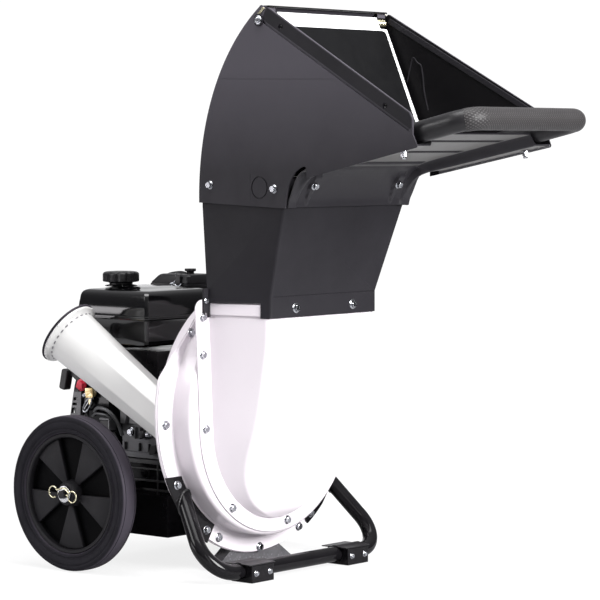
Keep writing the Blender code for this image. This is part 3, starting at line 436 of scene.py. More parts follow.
def make_materials():
    surface("gloss_white", (0.73, 0.680, 0.722), 0.32, coat=0.35, coat_rough=0.10, vary=0.02, patch=5.0, grain=420.0,
            bump=0.10, depth=0.00015, rough_vary=0.05)
    surface("cone_enamel", (0.74, 0.735, 0.725), 0.22, coat=0.55, coat_rough=0.05, vary=0.02, patch=6.0, grain=420.0,
            bump=0.08, depth=0.00012, rough_vary=0.05)
    surface("satin_black", (0.0065, 0.0060, 0.0070), 0.115, vary=0.25, patch=14.0, grain=900.0, bump=0.10,
            depth=0.00005, spec=0.20)
    # ramp plastic: painted reflection, downward faces much paler than the rest
    surface("ramp_charcoal", (0.0225, 0.0210, 0.0250), 0.42, vary=0.10, patch=6.0, grain=1500.0, bump=0.25,
            depth=0.00010, rough_vary=0.03, second=(0.0245, 0.023, 0.0275), spec=0.24,
            painted_underside_light=(0.19, 0.187, 0.182))
    surface("axle_dark", (0.012, 0.0115, 0.0125), 0.34, metal=0.4, vary=0.2, patch=60.0, grain=900.0, bump=0.25,
            depth=0.00006, spec=0.3)
    # crankcase: painted light, paler from 0.238 m up to ten times at 0.285 m high
    surface("crankcase_cast", (0.019, 0.019, 0.0195), 0.44, metal=0.3, vary=0.22, patch=30.0, grain=520.0, bump=0.85,
            depth=0.00045, wear=(0.11, 0.11, 0.118), wear_at=0.60, painted_top_light=(0.238, 0.285, 10.0))
    surface("foot_cast", (0.045, 0.045, 0.046), 0.46, metal=0.3, vary=0.22, patch=30.0, grain=520.0, bump=0.85,
            depth=0.00045, wear=(0.09, 0.09, 0.095), wear_at=0.60)
    # hopper plastic: painted sheen up to 3.1 times paler from 0.78 m to 0.98 m high, and painted shade near black on
    # inward faces
    surface("moulded_charcoal", (0.0275, 0.0255, 0.0305), 0.52, vary=0.16, patch=8.0, grain=1500.0, bump=0.45,
            depth=0.00014, second=(0.030, 0.028, 0.033), spec=0.17, painted_top_light=(0.78, 0.98, 3.1), painted_inner_shade=(0.006, 0.0055, 0.0065))
    surface("adapter_charcoal", (0.0165, 0.0154, 0.0186), 0.52, vary=0.10, patch=7.0, grain=1500.0, bump=0.45,
            depth=0.00014, second=(0.0182, 0.0170, 0.0204), spec=0.15)
    surface("moulded_black", (0.014, 0.0133, 0.0150), 0.38, vary=0.15, patch=8.0, grain=1300.0, bump=0.30,
            depth=0.00010, spec=0.36)
    # hub plastic: painted shade, near black in the pockets near the hub's middle plane
    surface("hub_plastic_fine", (0.0145, 0.0138, 0.0160), 0.48, vary=0.14, patch=20.0, grain=1200.0, bump=0.40,
            depth=0.00014, spec=0.14, painted_recess_shade=(0.2765, 0.2825, (0.0022, 0.0022, 0.0026)))
    # tyre rubber: painted light, the tread about three times paler than the side walls
    surface("tyre_rubber", (0.0150, 0.0140, 0.0180), 0.52, vary=0.22, patch=26.0, grain=700.0, bump=0.55,
            depth=0.00020, speck=(520.0, (0.05, 0.046, 0.058), 0.16),
            spec=0.08, painted_tread_light=(0.050, 0.044, 0.056))
    surface("zinc_plate", (0.46, 0.47, 0.50), 0.19, metal=1.0, vary=0.10, patch=160.0, grain=1800.0, bump=0.20,
            depth=0.00004, rough_vary=0.08, wear=(0.86, 0.87, 0.88), wear_at=0.60)
    surface("galvanised", (0.23, 0.225, 0.24), 0.42, metal=0.8, vary=0.16, patch=60.0, grain=900.0, bump=0.20,
            depth=0.00006, speck=(150.0, (0.44, 0.44, 0.46), 0.35))
    surface("yellow_zinc_plate", (0.78, 0.70, 0.46), 0.26, metal=1.0, vary=0.16, patch=120.0, grain=1500.0,
            bump=0.15, depth=0.00004, second=(0.74, 0.72, 0.54))
    surface("ground_steel", (0.36, 0.36, 0.38), 0.34, metal=1.0, vary=0.18, patch=40.0, grain=700.0, bump=0.3,
            depth=0.00007, brushed=(1.0, 6.0, 1.0), wear=(0.62, 0.62, 0.64), wear_at=0.60)
    surface("sand_cast", (0.075, 0.073, 0.080), 0.46, metal=0.35, vary=0.22, patch=30.0, grain=520.0, bump=0.85,
            depth=0.00045, wear=(0.26, 0.26, 0.275), wear_at=0.60)
    surface("cover_grey", (0.11, 0.11, 0.115), 0.34, metal=0.35, vary=0.18, patch=24.0, grain=700.0, bump=0.25,
            depth=0.00010)
    surface("tank_gloss", (0.0028, 0.0027, 0.0033), 0.11, coat=0.5, coat_rough=0.10, vary=0.30, patch=5.0,
            grain=240.0, bump=0.04, depth=0.0002, rough_vary=0.02, spec=0.5)
    surface("red_moulded", (0.66, 0.018, 0.050), 0.34, vary=0.12, patch=60.0, grain=1500.0, bump=0.25,
            depth=0.00010, wear=(0.80, 0.16, 0.20), wear_at=0.60)
    surface("brass_turned", (0.50, 0.37, 0.17), 0.36, metal=0.9, vary=0.15, patch=90.0, grain=1500.0, bump=0.3,
            depth=0.00006, wear=(0.86, 0.74, 0.48), wear_at=0.60)
    surface("label_film", (0.0042, 0.0042, 0.0048), 0.46, vary=0.12, patch=16.0,
            grain=900.0, bump=0.10, depth=0.00006, spec=0.16)
    surface("flap_white", (0.90, 0.90, 0.91), 0.40, coat=0.2, coat_rough=0.15, vary=0.015, patch=6.0, grain=600.0,
            bump=0.08, depth=0.0001)
    surface("weld_steel", (0.012, 0.0115, 0.0125), 0.40, vary=0.25, patch=80.0, grain=260.0, bump=0.8, depth=0.0005)
    # handle grip: diamond knurl pressed into soft plastic, laid along the bar by its own UV map
    m, nt, b, tc, bp, col = surface("knurled_grip", (0.021, 0.0195, 0.0205), 0.46, vary=0.10, patch=20.0,
                                    grain=1500.0, bump=0.3, depth=0.0001, spec=0.3)
    nd, ln = nt.nodes, nt.links
    uv = nd.new("ShaderNodeUVMap")
    uv.uv_map = "along"
    waves = []
    for k in (1, -1):
        w = nd.new("ShaderNodeTexWave")
        w.wave_type = "BANDS"
        w.bands_direction = "X"
        w.inputs["Scale"].default_value = 1.35
        mp = nd.new("ShaderNodeMapping")
        mp.inputs["Rotation"].default_value = (0, 0, math.radians(45 * k))
        ln.new(uv.outputs["UV"], mp.inputs["Vector"])
        ln.new(mp.outputs["Vector"], w.inputs["Vector"])
        waves.append(w)
    mul = nd.new("ShaderNodeMath")
    mul.operation = "MULTIPLY"
    ln.new(waves[0].outputs["Fac"], mul.inputs[0])
    ln.new(waves[1].outputs["Fac"], mul.inputs[1])
    bp2 = nd.new("ShaderNodeBump")
    bp2.inputs["Strength"].default_value = 0.7
    bp2.inputs["Distance"].default_value = 0.0007
    ln.new(mul.outputs["Value"], bp2.inputs["Height"])
    ln.new(bp.outputs["Normal"], bp2.inputs["Normal"])
    ln.new(bp2.outputs["Normal"], b.inputs["Normal"])
    mixc = nd.new("ShaderNodeMix")
    mixc.data_type = "RGBA"
    mixc.inputs["B"].default_value = (0.070, 0.066, 0.067, 1)
    ln.new(mul.outputs["Value"], mixc.inputs["Factor"])
    ln.new(col, mixc.inputs["A"])
    ln.new(mixc.outputs["Result"], b.inputs["Base Color"])


# ================================================================= mesh helpers (mm, design frame)
def new_mesh():
    return bmesh.new()


def loft(rings, loop=False, cap=True, bm=None):
    bm = bm or new_mesh()
    rows = [[bm.verts.new(p) for p in r] for r in rings]
    n = len(rows[0])
    pairs = list(zip(rows[:-1], rows[1:]))
    if loop:
        pairs.append((rows[-1], rows[0]))
    for a, b in pairs:
        for i in range(n):
            j = (i + 1) % n
            bm.faces.new((a[i], a[j], b[j], b[i]))
    if cap and not loop:
        bm.faces.new(rows[0])
        bm.faces.new(list(reversed(rows[-1])))
    return bm


def frame_of(axis):
    d = Vector(axis).normalized()
    ref = Vector((0, 0, 1)) if abs(d.z) < 0.9 else Vector((1, 0, 0))
    u = d.cross(ref).normalized()
    v = d.cross(u).normalized()
    return d, u, v


def turned(profile, origin, axis, n=48, closed=False, bm=None, shape=None):
    """Turn a profile of (radius, height) about an axis; shape(angle, r, h) may change the radius."""
    bm = bm or new_mesh()
    d, u, v = frame_of(axis)
    o = Vector(origin)
    rows = []
    for r, h in profile:
        if r < 1e-6:
            rows.append([bm.verts.new(o + d * h)])
            continue
        row = []
        for i in range(n):
            a = 2 * math.pi * i / n
            rr = shape(a, r, h) if shape else r
            row.append(bm.verts.new(o + d * h + (u * math.cos(a) + v * math.sin(a)) * rr))
        rows.append(row)
    seq = list(zip(rows[:-1], rows[1:]))
    if closed:
        seq.append((rows[-1], rows[0]))
    for a, b in seq:
        if len(a) == 1 and len(b) == 1:
            continue
        for i in range(n):
            j = (i + 1) % n
            if len(a) == 1:
                bm.faces.new((a[0], b[j], b[i]))
            elif len(b) == 1:
                bm.faces.new((a[i], a[j], b[0]))
            else:
                bm.faces.new((a[i], a[j], b[j], b[i]))
    if not closed:
        if len(rows[0]) > 1:
            bm.faces.new(rows[0])
        if len(rows[-1]) > 1:
            bm.faces.new(list(reversed(rows[-1])))
    return bm


def prism(poly, a, b, axis, bm=None):
    def p3(p, h):
        return {"X": (h, p[0], p[1]), "Y": (p[0], h, p[1]), "Z": (p[0], p[1], h)}[axis]
    return loft([[p3(p, a) for p in poly], [p3(p, b) for p in poly]], bm=bm)


def box(x0, x1, y0, y1, z0, z1, bm=None):
    return prism([(x0, y0), (x1, y0), (x1, y1), (x0, y1)], z0, z1, "Z", bm)


def tube_rings(path, r, n=16):
    pts = [Vector(p) for p in path]
    tang = []
    for i in range(len(pts)):
        a = pts[max(i - 1, 0)]
        b = pts[min(i + 1, len(pts) - 1)]
        tang.append((b - a).normalized())
    d, u, _ = frame_of(tang[0])
    rings = []
    for i, p in enumerate(pts):
        t = tang[i]
        u = (u - t * u.dot(t)).normalized()
        v = t.cross(u)
        rr = r(i) if callable(r) else r
        rings.append([p + (u * math.cos(2 * math.pi * k / n) + v * math.sin(2 * math.pi * k / n)) * rr
                      for k in range(n)])
    return rings


def tube(path, r, n=16, bm=None):
    return loft(tube_rings(path, r, n), bm=bm)


def spline(points, n):
    """Smooth line through the points (centripetal steps kept simple: Catmull-Rom), n parts per span."""
    p = [Vector(q) for q in points]
    p = [p[0] * 2 - p[1]] + p + [p[-1] * 2 - p[-2]]
    out = []
    for i in range(1, len(p) - 2):
        for k in range(n):
            t = k / n
            a, b, c, d = p[i - 1], p[i], p[i + 1], p[i + 2]
            out.append(0.5 * ((2 * b) + (c - a) * t + (2 * a - 5 * b + 4 * c - d) * t * t +
                              (3 * b - a - 3 * c + d) * t ** 3))
    out.append(p[-2])
    return out


def smooth_values(pts, x):
    """Monotone-ish cubic through (x, y) pairs."""
    n = len(pts)
    if x <= pts[0][0]:
        return pts[0][1]
    if x >= pts[-1][0]:
        return pts[-1][1]
    sl = []
    for i in range(n):
        a = pts[max(i - 1, 0)]
        b = pts[min(i + 1, n - 1)]
        sl.append((b[1] - a[1]) / (b[0] - a[0]))
    for i in range(n - 1):
        x0, y0 = pts[i]
        x1, y1 = pts[i + 1]
        if x <= x1:
            h = x1 - x0
            t = (x - x0) / h
            return ((2 * t ** 3 - 3 * t * t + 1) * y0 + (t ** 3 - 2 * t * t + t) * h * sl[i] +
                    (-2 * t ** 3 + 3 * t * t) * y1 + (t ** 3 - t * t) * h * sl[i + 1])
    return pts[-1][1]


def rounded_path(corners, radius, steps=12):
    c = [Vector(p) for p in corners]
    out = [c[0]]
    for i in range(1, len(c) - 1):
        a = (c[i - 1] - c[i]).normalized()
        b = (c[i + 1] - c[i]).normalized()
        ang = a.angle(b)
        t = radius / math.tan(ang / 2)
        centre = c[i] + (a + b).normalized() * (radius / math.sin(ang / 2))
        p0 = c[i] + a * t - centre
        p1 = c[i] + b * t - centre
        sweep = p0.angle(p1)
        for s in range(steps + 1):
            f = s / steps
            out.append(centre + p0 * (math.sin((1 - f) * sweep) / math.sin(sweep)) +
                       p1 * (math.sin(f * sweep) / math.sin(sweep)))
    out.append(c[-1])
    return out


def rounded_poly(corners, radii, steps=4, closed=True):
    n = len(corners)
    out = []
    for i in range(n):
        p = Vector(corners[i])
        r = radii[i] if isinstance(radii, (list, tuple)) else radii
        if r <= 0 or (not closed and i in (0, n - 1)):
            out.append(tuple(p))
            continue
        a = Vector(corners[i - 1]) - p
        b = Vector(corners[(i + 1) % n]) - p
        if a.length < 1e-6 or b.length < 1e-6:
            out.append(tuple(p))
            continue
        ang = a.angle(b)
        if ang > math.pi - 0.05:
            out.append(tuple(p))
            continue
        t = min(r / math.tan(ang / 2), a.length * 0.49, b.length * 0.49)
        r = t * math.tan(ang / 2)
        a.normalize()
        b.normalize()
        centre = p + (a + b).normalized() * (r / math.sin(ang / 2))
        p0 = p + a * t - centre
        p1 = p + b * t - centre
        a0 = math.atan2(p0.y, p0.x)
        da = math.atan2(p1.y, p1.x) - a0
        while da > math.pi:
            da -= 2 * math.pi
        while da < -math.pi:
            da += 2 * math.pi
        for s in range(steps + 1):
            q = a0 + da * s / steps
            out.append((centre.x + r * math.cos(q), centre.y + r * math.sin(q)))
    return out


def soft(profile, r=1.0, steps=3):
    return rounded_poly(profile, r, steps, closed=False)


def evaluated(ob):
    dg = bpy.context.evaluated_depsgraph_get()
    me = bpy.data.meshes.new_from_object(ob.evaluated_get(dg))
    old = ob.data
    ob.modifiers.clear()
    ob.data = me
    bpy.data.meshes.remove(old)


def merge(ob, cutters, op="DIFFERENCE"):
    """Boolean the helper meshes (mm) with the object and keep the result."""
    for bm in (cutters if isinstance(cutters, list) else [cutters]):
        bmesh.ops.remove_doubles(bm, verts=bm.verts, dist=0.002)
        bmesh.ops.recalc_face_normals(bm, faces=bm.faces)
        bmesh.ops.translate(bm, verts=bm.verts, vec=(X_SHIFT, 0, 0))
        bmesh.ops.scale(bm, verts=bm.verts, vec=(0.001, 0.001, 0.001))
        me = bpy.data.meshes.new("tool")
        bm.to_mesh(me)
        bm.free()
        tool = bpy.data.objects.new("tool", me)
        bpy.context.scene.collection.objects.link(tool)
        m = ob.modifiers.new("tool", "BOOLEAN")
        m.operation = op
        m.solver = "EXACT"
        m.object = tool
        bpy.context.view_layer.update()
        evaluated(ob)
        bpy.data.objects.remove(tool, do_unlink=True)
        bpy.data.meshes.remove(me)
    return ob


def raw(name, bm):
    bmesh.ops.remove_doubles(bm, verts=bm.verts, dist=0.002)
    bmesh.ops.recalc_face_normals(bm, faces=bm.faces)
    bmesh.ops.translate(bm, verts=bm.verts, vec=(X_SHIFT, 0, 0))
    bmesh.ops.scale(bm, verts=bm.verts, vec=(0.001, 0.001, 0.001))
    me = bpy.data.meshes.new(name)
    bm.to_mesh(me)
    bm.free()
    ob = bpy.data.objects.new(name, me)
    bpy.context.scene.collection.objects.link(ob)
    return ob


def dress(ob, mat, node=None, body=None, stand_for=True, sharp=30, bevel=0.0, seg=2, sub=0, limit=28):
    """Finish a piece: material, smoothing, edge rounding, and the body that it rides on."""
    me = ob.data
    me.materials.clear()
    me.materials.append(MATS[mat])
    me.shade_smooth()
    me.set_sharp_from_angle(angle=math.radians(sharp))
    if bevel:
        m = ob.modifiers.new("edges", "BEVEL")
        m.width = bevel * 0.001
        m.segments = seg
        m.limit_method = "ANGLE"
        m.angle_limit = math.radians(limit)
        m.use_clamp_overlap = True
        m.harden_normals = True
        m.miter_outer = "MITER_ARC"
    if sub:
        m = ob.modifiers.new("smooth", "SUBSURF")
        m.levels = sub
        m.render_levels = sub
    if node and stand_for:
        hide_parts(*([node] if isinstance(node, str) else node))
    first = node if isinstance(node, str) or node is None else node[0]
    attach(ob, body or NODES[first]["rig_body"])
    return ob


def piece(name, bm, mat, node=None, body=None, stand_for=True, **kw):
    return dress(raw(name, bm), mat, node, body, stand_for, **kw)


def refine(node, mat, bevel=0.6, seg=2, sharp=32, limit=28):
    """A carried-over CAD node: its own mesh with rounded edges and a finished surface."""
    ob = NODES[node]
    ob.data.materials.clear()
    ob.data.materials.append(MATS[mat])
    w = ob.modifiers.new("joined", "WELD")
    w.merge_threshold = 0.00002
    if bevel:
        m = ob.modifiers.new("edges", "BEVEL")
        m.width = bevel * 0.001
        m.segments = seg
        m.limit_method = "ANGLE"
        m.angle_limit = math.radians(limit)
        m.use_clamp_overlap = True
    s = ob.modifiers.new("shade", "WEIGHTED_NORMAL")
    s.keep_sharp = False
    return ob


def side(s):
    return "right" if s < 0 else "left"


# ================================================================= fasteners
BOLTS = {}


def hex_bolt(at, axis, washer=8.0, flat=5.0, height=6.0, group="chassis", turn=0.0, body="chassis", rim=1.4,
             mat="zinc_plate"):
    """Flange bolt: washer face, hexagon with a domed, chamfered top. Collected per group into one piece."""
    key = (group, body, mat)
    bm = BOLTS.setdefault(key, new_mesh())
    d, u, v = frame_of(axis)
    # flange
    turned([(0, -0.6)] + soft([(washer, -0.6), (washer, rim * 0.6), (flat * 1.05, rim), (0.001, rim)], 0.4, 2)[0:-1] + [(0, rim)],
           at, axis, 28, bm=bm)
    across = flat / math.cos(math.pi / 6)

    def hexa(a, r, h):
        q = (a + turn) % (math.pi / 3) - math.pi / 6
        hx = flat / math.cos(q)
        return min(hx, r)
    prof = [(0, rim * 0.5), (across + 1, rim * 0.5), (across + 1, height * 0.78), (across * 0.95, height * 0.92),
            (flat * 0.93, height), (flat * 0.55, height), (flat * 0.50, height - 0.5), (0, height - 0.5)]
    turned(prof, at, axis, 36, bm=bm, shape=hexa)


def dome_nut(at, axis, r=6.5, height=5.0, group="nuts", body="chassis", mat="gloss_white"):
    key = (group, body, mat)
    bm = BOLTS.setdefault(key, new_mesh())
    turned([(0, -0.5), (r, -0.5), (r, height * 0.5), (r * 0.85, height * 0.82), (r * 0.5, height), (0, height)],
           at, axis, 24, bm=bm)


def make_bolts():
    for (group, body, mat), bm in sorted(BOLTS.items()):
        piece("fasteners_" + group, bm, mat, body=body, sharp=28)


# ================================================================= running gear
WHEEL_R, WHEEL_Y, TYRE_W, RIM_R, AXLE_R, AXLE_Z = 152.4, 275.5, 41.8, 118.0, 8.0, 152.4


def base_frame_details():
    refine("base_frame", "satin_black", 1.0)
    refine("axle", "axle_dark", 0.8)
    # engine bolts through the rails, weld beads along the rails' feet
    for s in (-1, 1):
        for x in (-62, 96):
            hex_bolt((x, s * 77, 206.6), (0, 0, 1), 8.5, 6, 0.05 + 6, group="engine_mount")
        y = s * 92.0
        rows = []
        for k in range(0, 121):
            x = -98 + 282 * k / 120
            rows.append([(x, y + s * (0.2 + 2.6 * math.cos(a)), 143.5 + (2.4 + 0.35 * math.sin(k * 1.9)) * math.sin(a))
                         for a in [math.pi * q / 8 for q in range(9)]] + [(x, y - s * 2.0, 143.5 + 0.1)])
        rows = [r for r in rows if r[0][0] < 131]
        piece("rail_weld_" + side(s), loft(rows), "weld_steel", body="chassis", sharp=60)


def wheel(s):
    o = (0, s * WHEEL_Y, AXLE_Z)
    w = TYRE_W / 2
    r0 = RIM_R + GAP
    half = [(r0, w - 5.6), (r0 + 1.2, w - 3.6), (r0 + 3.2, w - 1.6), (r0 + 5.0, w - 0.9), (r0 + 6.8, w - 1.5),
            (r0 + 7.8, w - 2.9), (r0 + 9.4, w - 2.9), (r0 + 11.0, w - 1.2), (r0 + 14.0, w - 0.25),
            (WHEEL_R - 15.5, w), (WHEEL_R - 12.6, w), (WHEEL_R - 11.8, w - 0.9), (WHEEL_R - 10.6, w - 0.9),
            (WHEEL_R - 9.6, w - 0.2), (WHEEL_R - 6.4, w - 0.5), (WHEEL_R - 3.6, w - 1.6), (WHEEL_R - 1.9, w - 3.2),
            (WHEEL_R - 0.9, w - 5.2), (WHEEL_R - 0.5, w - 7.4), (WHEEL_R - 1.3, w - 7.9), (WHEEL_R - 1.3, w - 8.7),
            (WHEEL_R - 0.35, w - 9.2), (WHEEL_R, w - 14.0)]
    prof = half + [(r, -h) for r, h in reversed(half)]
    ob = piece("tyre_" + side(s) + "_fine", turned(prof, o, (0, 1, 0), 160, closed=True), "tyre_rubber",
               "tyre_" + side(s), sharp=50)
    # hub: centre boss, web, rim and five raised sectors
    d, u, v = frame_of((0, s, 0))
    oo = Vector(o)

    def at(r, a, h):
        return oo + d * h + (u * math.cos(a) + v * math.sin(a)) * r
    prof = [(AXLE_R + GAP, -21), (21, -21), (23, -19), (23, -5), (108.5, -5), (109.5, -6), (109.5, -14.3),
            (110.8, -15.5), (117, -15.5), (118, -14.5), (118, 13.8), (116.6, 15.5), (111.6, 15.5), (110, 13.8),
            (109.5, 10.5), (109.5, -0.2), (108.7, -1), (30, -1), (27, 1.0), (24.5, 12), (23, 20), (21.6, 23.4),
            (19.6, 24.5), (15.2, 24.5), (14.2, 23.4), (13.6, 19.5), (AXLE_R + GAP + 1, 19.2), (AXLE_R + GAP, 18.2)]
    ob = raw("wheel_hub_" + side(s) + "_fine", turned(prof, o, (0, 1 * s, 0), 120, closed=True))
    for k in range(5):
        a0 = math.radians(72 * k)
        a1 = a0 + math.radians(36)
        outline = []
        for q in range(13):
            a = a0 + (a1 - a0) * q / 12
            outline.append((108.9, a))
        mid = (a0 + a1) / 2
        inner = [(25.5, mid + math.radians(13)), (24.0, mid), (25.5, mid - math.radians(13))]
        pts = outline + inner

        def ring(h, grow=0.0):
            row = []
            for r, a in pts:
                rr = r - grow * (1 if r > 60 else -1)
                am = a + (mid - a) * (grow / max(rr, 20)) * 2.2
                row.append(at(rr, am, h))
            return row
        bm = loft([ring(-3.0), ring(7.2), ring(8.5, 0.45), ring(9.0, 1.6)])
        merge(ob, bm, "UNION")
    dress(ob, "hub_plastic_fine", "wheel_hub_" + side(s), sharp=34)
    # collar in the hub's mouth with the axle washer that the pin bears on
    prof = [(8.4, 20.0), (12.6, 20.0), (12.6, 26.6), (16.0, 26.8), (16.4, 27.6), (16.0, 28.6), (8.9, 28.8)]
    piece("axle_washer_" + side(s), turned(prof, o, (0, s, 0), 48, closed=True), "zinc_plate", body=side(s) + "_wheel",
          sharp=30)


def hitch_pin(s):
    y = s * 307
    pts = [(-12.5, 0), (-6, 0), (0, 0), (6, 0), (12.5, 0)]
    c, r = 26.0, 11.0
    for k in range(1, 13):
        a = math.radians(180 + (330.0 * k / 12))
        pts.append((c + r * math.cos(a), r * math.sin(a)))
    pts += [(9.5, 9.2), (0, 12.6), (-9.5, 9.2)]
    for k in range(0, 11):
        a = math.radians(30 + 285.0 * k / 10)
        pts.append((-c + r * math.cos(a), r * math.sin(a)))
    ca, sa = math.cos(math.radians(7)), math.sin(math.radians(7))
    path = spline([(x * ca + z * sa, y, AXLE_Z - x * sa + z * ca) for x, z in pts], 5)
    piece("hitch_pin_" + side(s) + "_fine", tube(path, 1.45, 12), "yellow_zinc_plate", "hitch_pin_" + side(s), sharp=50)


STAND_END = (225.0, 212.0, 168.0)
STAND_CORNER = (345.0, 271.0, 21.0)


def stand():
    x0, y0, z0 = STAND_END
    x1, y1, z1 = STAND_CORNER
    path = rounded_path([(x0, -y0, z0), (x1, -y1, z1), (x1, y1, z1), (x0, y0, z0)], 58, 18)
    ob = raw("stand_tube_fine", tube(path, 15, 40))
    merge(ob, box(150, 241.2, -400, 400, 60, 300))
    dress(ob, "satin_black", "stand_tube", sharp=40, bevel=0.6)
    for s in (-1, 1):
        poly = []
        for k in range(25):
            a = math.radians(31.5 + (35.8 if s < 0 else 31.0) * k / 24)
            r = 294 if s < 0 else 287 - 13.0 * max(0.0, (k - 9) / 15.0)
            poly.append((s * r * math.sin(a), 313.0 - r * math.cos(a)))
        for k in range(25):
            a = math.radians((63.5 - 32.0 * k / 24) if s < 0 else (62.5 - 31.0 * k / 24))
            poly.append((s * 254 * math.sin(a), 313.0 - 254 * math.cos(a)))
        piece("stand_bracket_" + side(s) + "_fine", prism(poly, 236.65, 240.8, "X"), "satin_black",
              "stand_bracket_" + side(s), sharp=30, bevel=0.7)
        # weld bead round the tube's cut end
        d = (Vector(STAND_CORNER) - Vector(STAND_END))
        t = (241.2 - x0) / d.x
        cx, cy, cz = 241.2, s * (y0 + d.y * t), z0 + d.z * t
        dn = Vector((d.x, s * d.y, d.z)).normalized()
        ring = []
        n = 72
        for i in range(n):
            a = 2 * math.pi * i / n
            e1 = Vector((0, 1, 0))
            e2 = Vector((0, 0, 1))
            # the cut is an ellipse in the plane X = 241.2
            q = e1 * math.cos(a) + e2 * math.sin(a)
            along = q - dn * q.dot(dn)
            k = 15.0 / along.length
            ring.append(Vector((cx, cy, cz)) + q * k)
        rows = []
        for i, p in enumerate(ring):
            out = (p - Vector((cx, cy, cz))).normalized()
            w = 2.6 + 0.35 * math.sin(i * 1.7)
            rows.append([p + out * (w * math.cos(b)) + Vector((1, 0, 0)) * (w * math.sin(b) + 0.1)
                         for b in [math.pi * g / 6 for g in range(7)]])
        piece("stand_weld_" + side(s), loft(rows, loop=True), "weld_steel", body="chassis", sharp=60)
        r = 15.4
        prof = [(322, 0), (374.9, 0), (374.9, 33)]
        a0 = math.asin((33 - z1) / r)
        for k in range(25):
            a = a0 - (math.pi + 2 * a0) * k / 24
            prof.append((x1 + r * math.cos(a), z1 + r * math.sin(a)))
        prof.append((322, 33))
        y0f, y1f = sorted((s * 112.7, s * 177.2))
        piece("stand_foot_" + side(s) + "_fine", prism(prof, y0f, y1f, "Y"), "satin_black",
              "stand_foot_" + side(s), sharp=30, bevel=1.2, seg=3)
        for y in (s * 145 - 20, s * 145 + 20):
            hex_bolt((374.9, y, 18), (1, 0, 0), 6.0, 4.0, 4.2, group="feet")
        # clamp strap over the tube behind each foot
        prof_o, prof_i = [], []
        for k in range(19):
            a = math.radians(200 - 180 * k / 18)
            prof_o.append((x1 + 17.6 * math.cos(a), z1 + 17.6 * math.sin(a)))
            prof_i.append((x1 + 15.6 * math.cos(a), z1 + 15.6 * math.sin(a)))
        x_f = 320.0
        outline = [(x_f - 9, 35.4), (x_f + 9, 35.4)] + [p for p in prof_o if p[1] > 34.5 and p[0] < x1 + 14] + \
                  [(374.0, 35.4), (374.0, 33.4)] + [p for p in reversed(prof_i) if p[1] > 33.0 and p[0] < x1 + 12] + \
                  [(x_f + 9, 33.4), (x_f - 9, 33.4)]
        ya, yb = sorted((s * 108.0, s * 182.0))
        piece("foot_strap_" + side(s), prism(outline, ya, yb, "Y"), "moulded_black", body="chassis", sharp=35, bevel=0.4)


# ================================================================= impeller housing
NA = 192
SHAFT_Z, RING_Z, RING_R, DRUM_R, REAR_R = 313.0, 318.0, 290.0, 247.0, 243.0
X_REAR, X_FLANGE, X_FRONT, SHEET = 192.0, 233.0, 281.0, 3.0
BASE_Z, BASE_R, SCOOP_Z, SCOOP_R = 296.0, 222.0, 288.0, 187.0


def circle(x, cy, cz, r):
    return [(x, cy + r * math.sin(2 * math.pi * i / NA), cz - r * math.cos(2 * math.pi * i / NA)) for i in range(NA)]


def flange_ring(x, shrink=0.0):
    pts = []
    for i in range(NA):
        a = 2 * math.pi * i / NA
        y, z = math.sin(a), -math.cos(a)
        r = RING_R
        for ny, nz, c in ((0.743, 0.669, 256.0), (0.0, 1.0, 254.0)):
            k = abs(y) * ny + z * nz
            if k > 0.05:
                r = min(r, c / k)
        r -= shrink
        pts.append((x, y * r, RING_Z + z * r))
    return pts


def fillet(x0, r0, x1, r1, k, n=5):
    """Circles along a quarter round from (x0, r0) to (x1, r1); k is +1 to start along X, -1 along the radius."""
    out = []
    for i in range(1, n):
        t = math.pi / 2 * i / n
        if k > 0:
            x, r = x0 + (x1 - x0) * math.sin(t), r0 + (r1 - r0) * (1 - math.cos(t))
        else:
            x, r = x0 + (x1 - x0) * (1 - math.cos(t)), r0 + (r1 - r0) * math.sin(t)
        out.append((x, r))
    return out


def cone_dir():
    e, w = math.radians(35.2), math.radians(11.0)
    return Vector((-math.cos(e) * math.cos(w), -math.cos(e) * math.sin(w), math.sin(e)))


CONE_BASE = (192.0, -172.0, 274.5)
CONE_TURN = 14.0


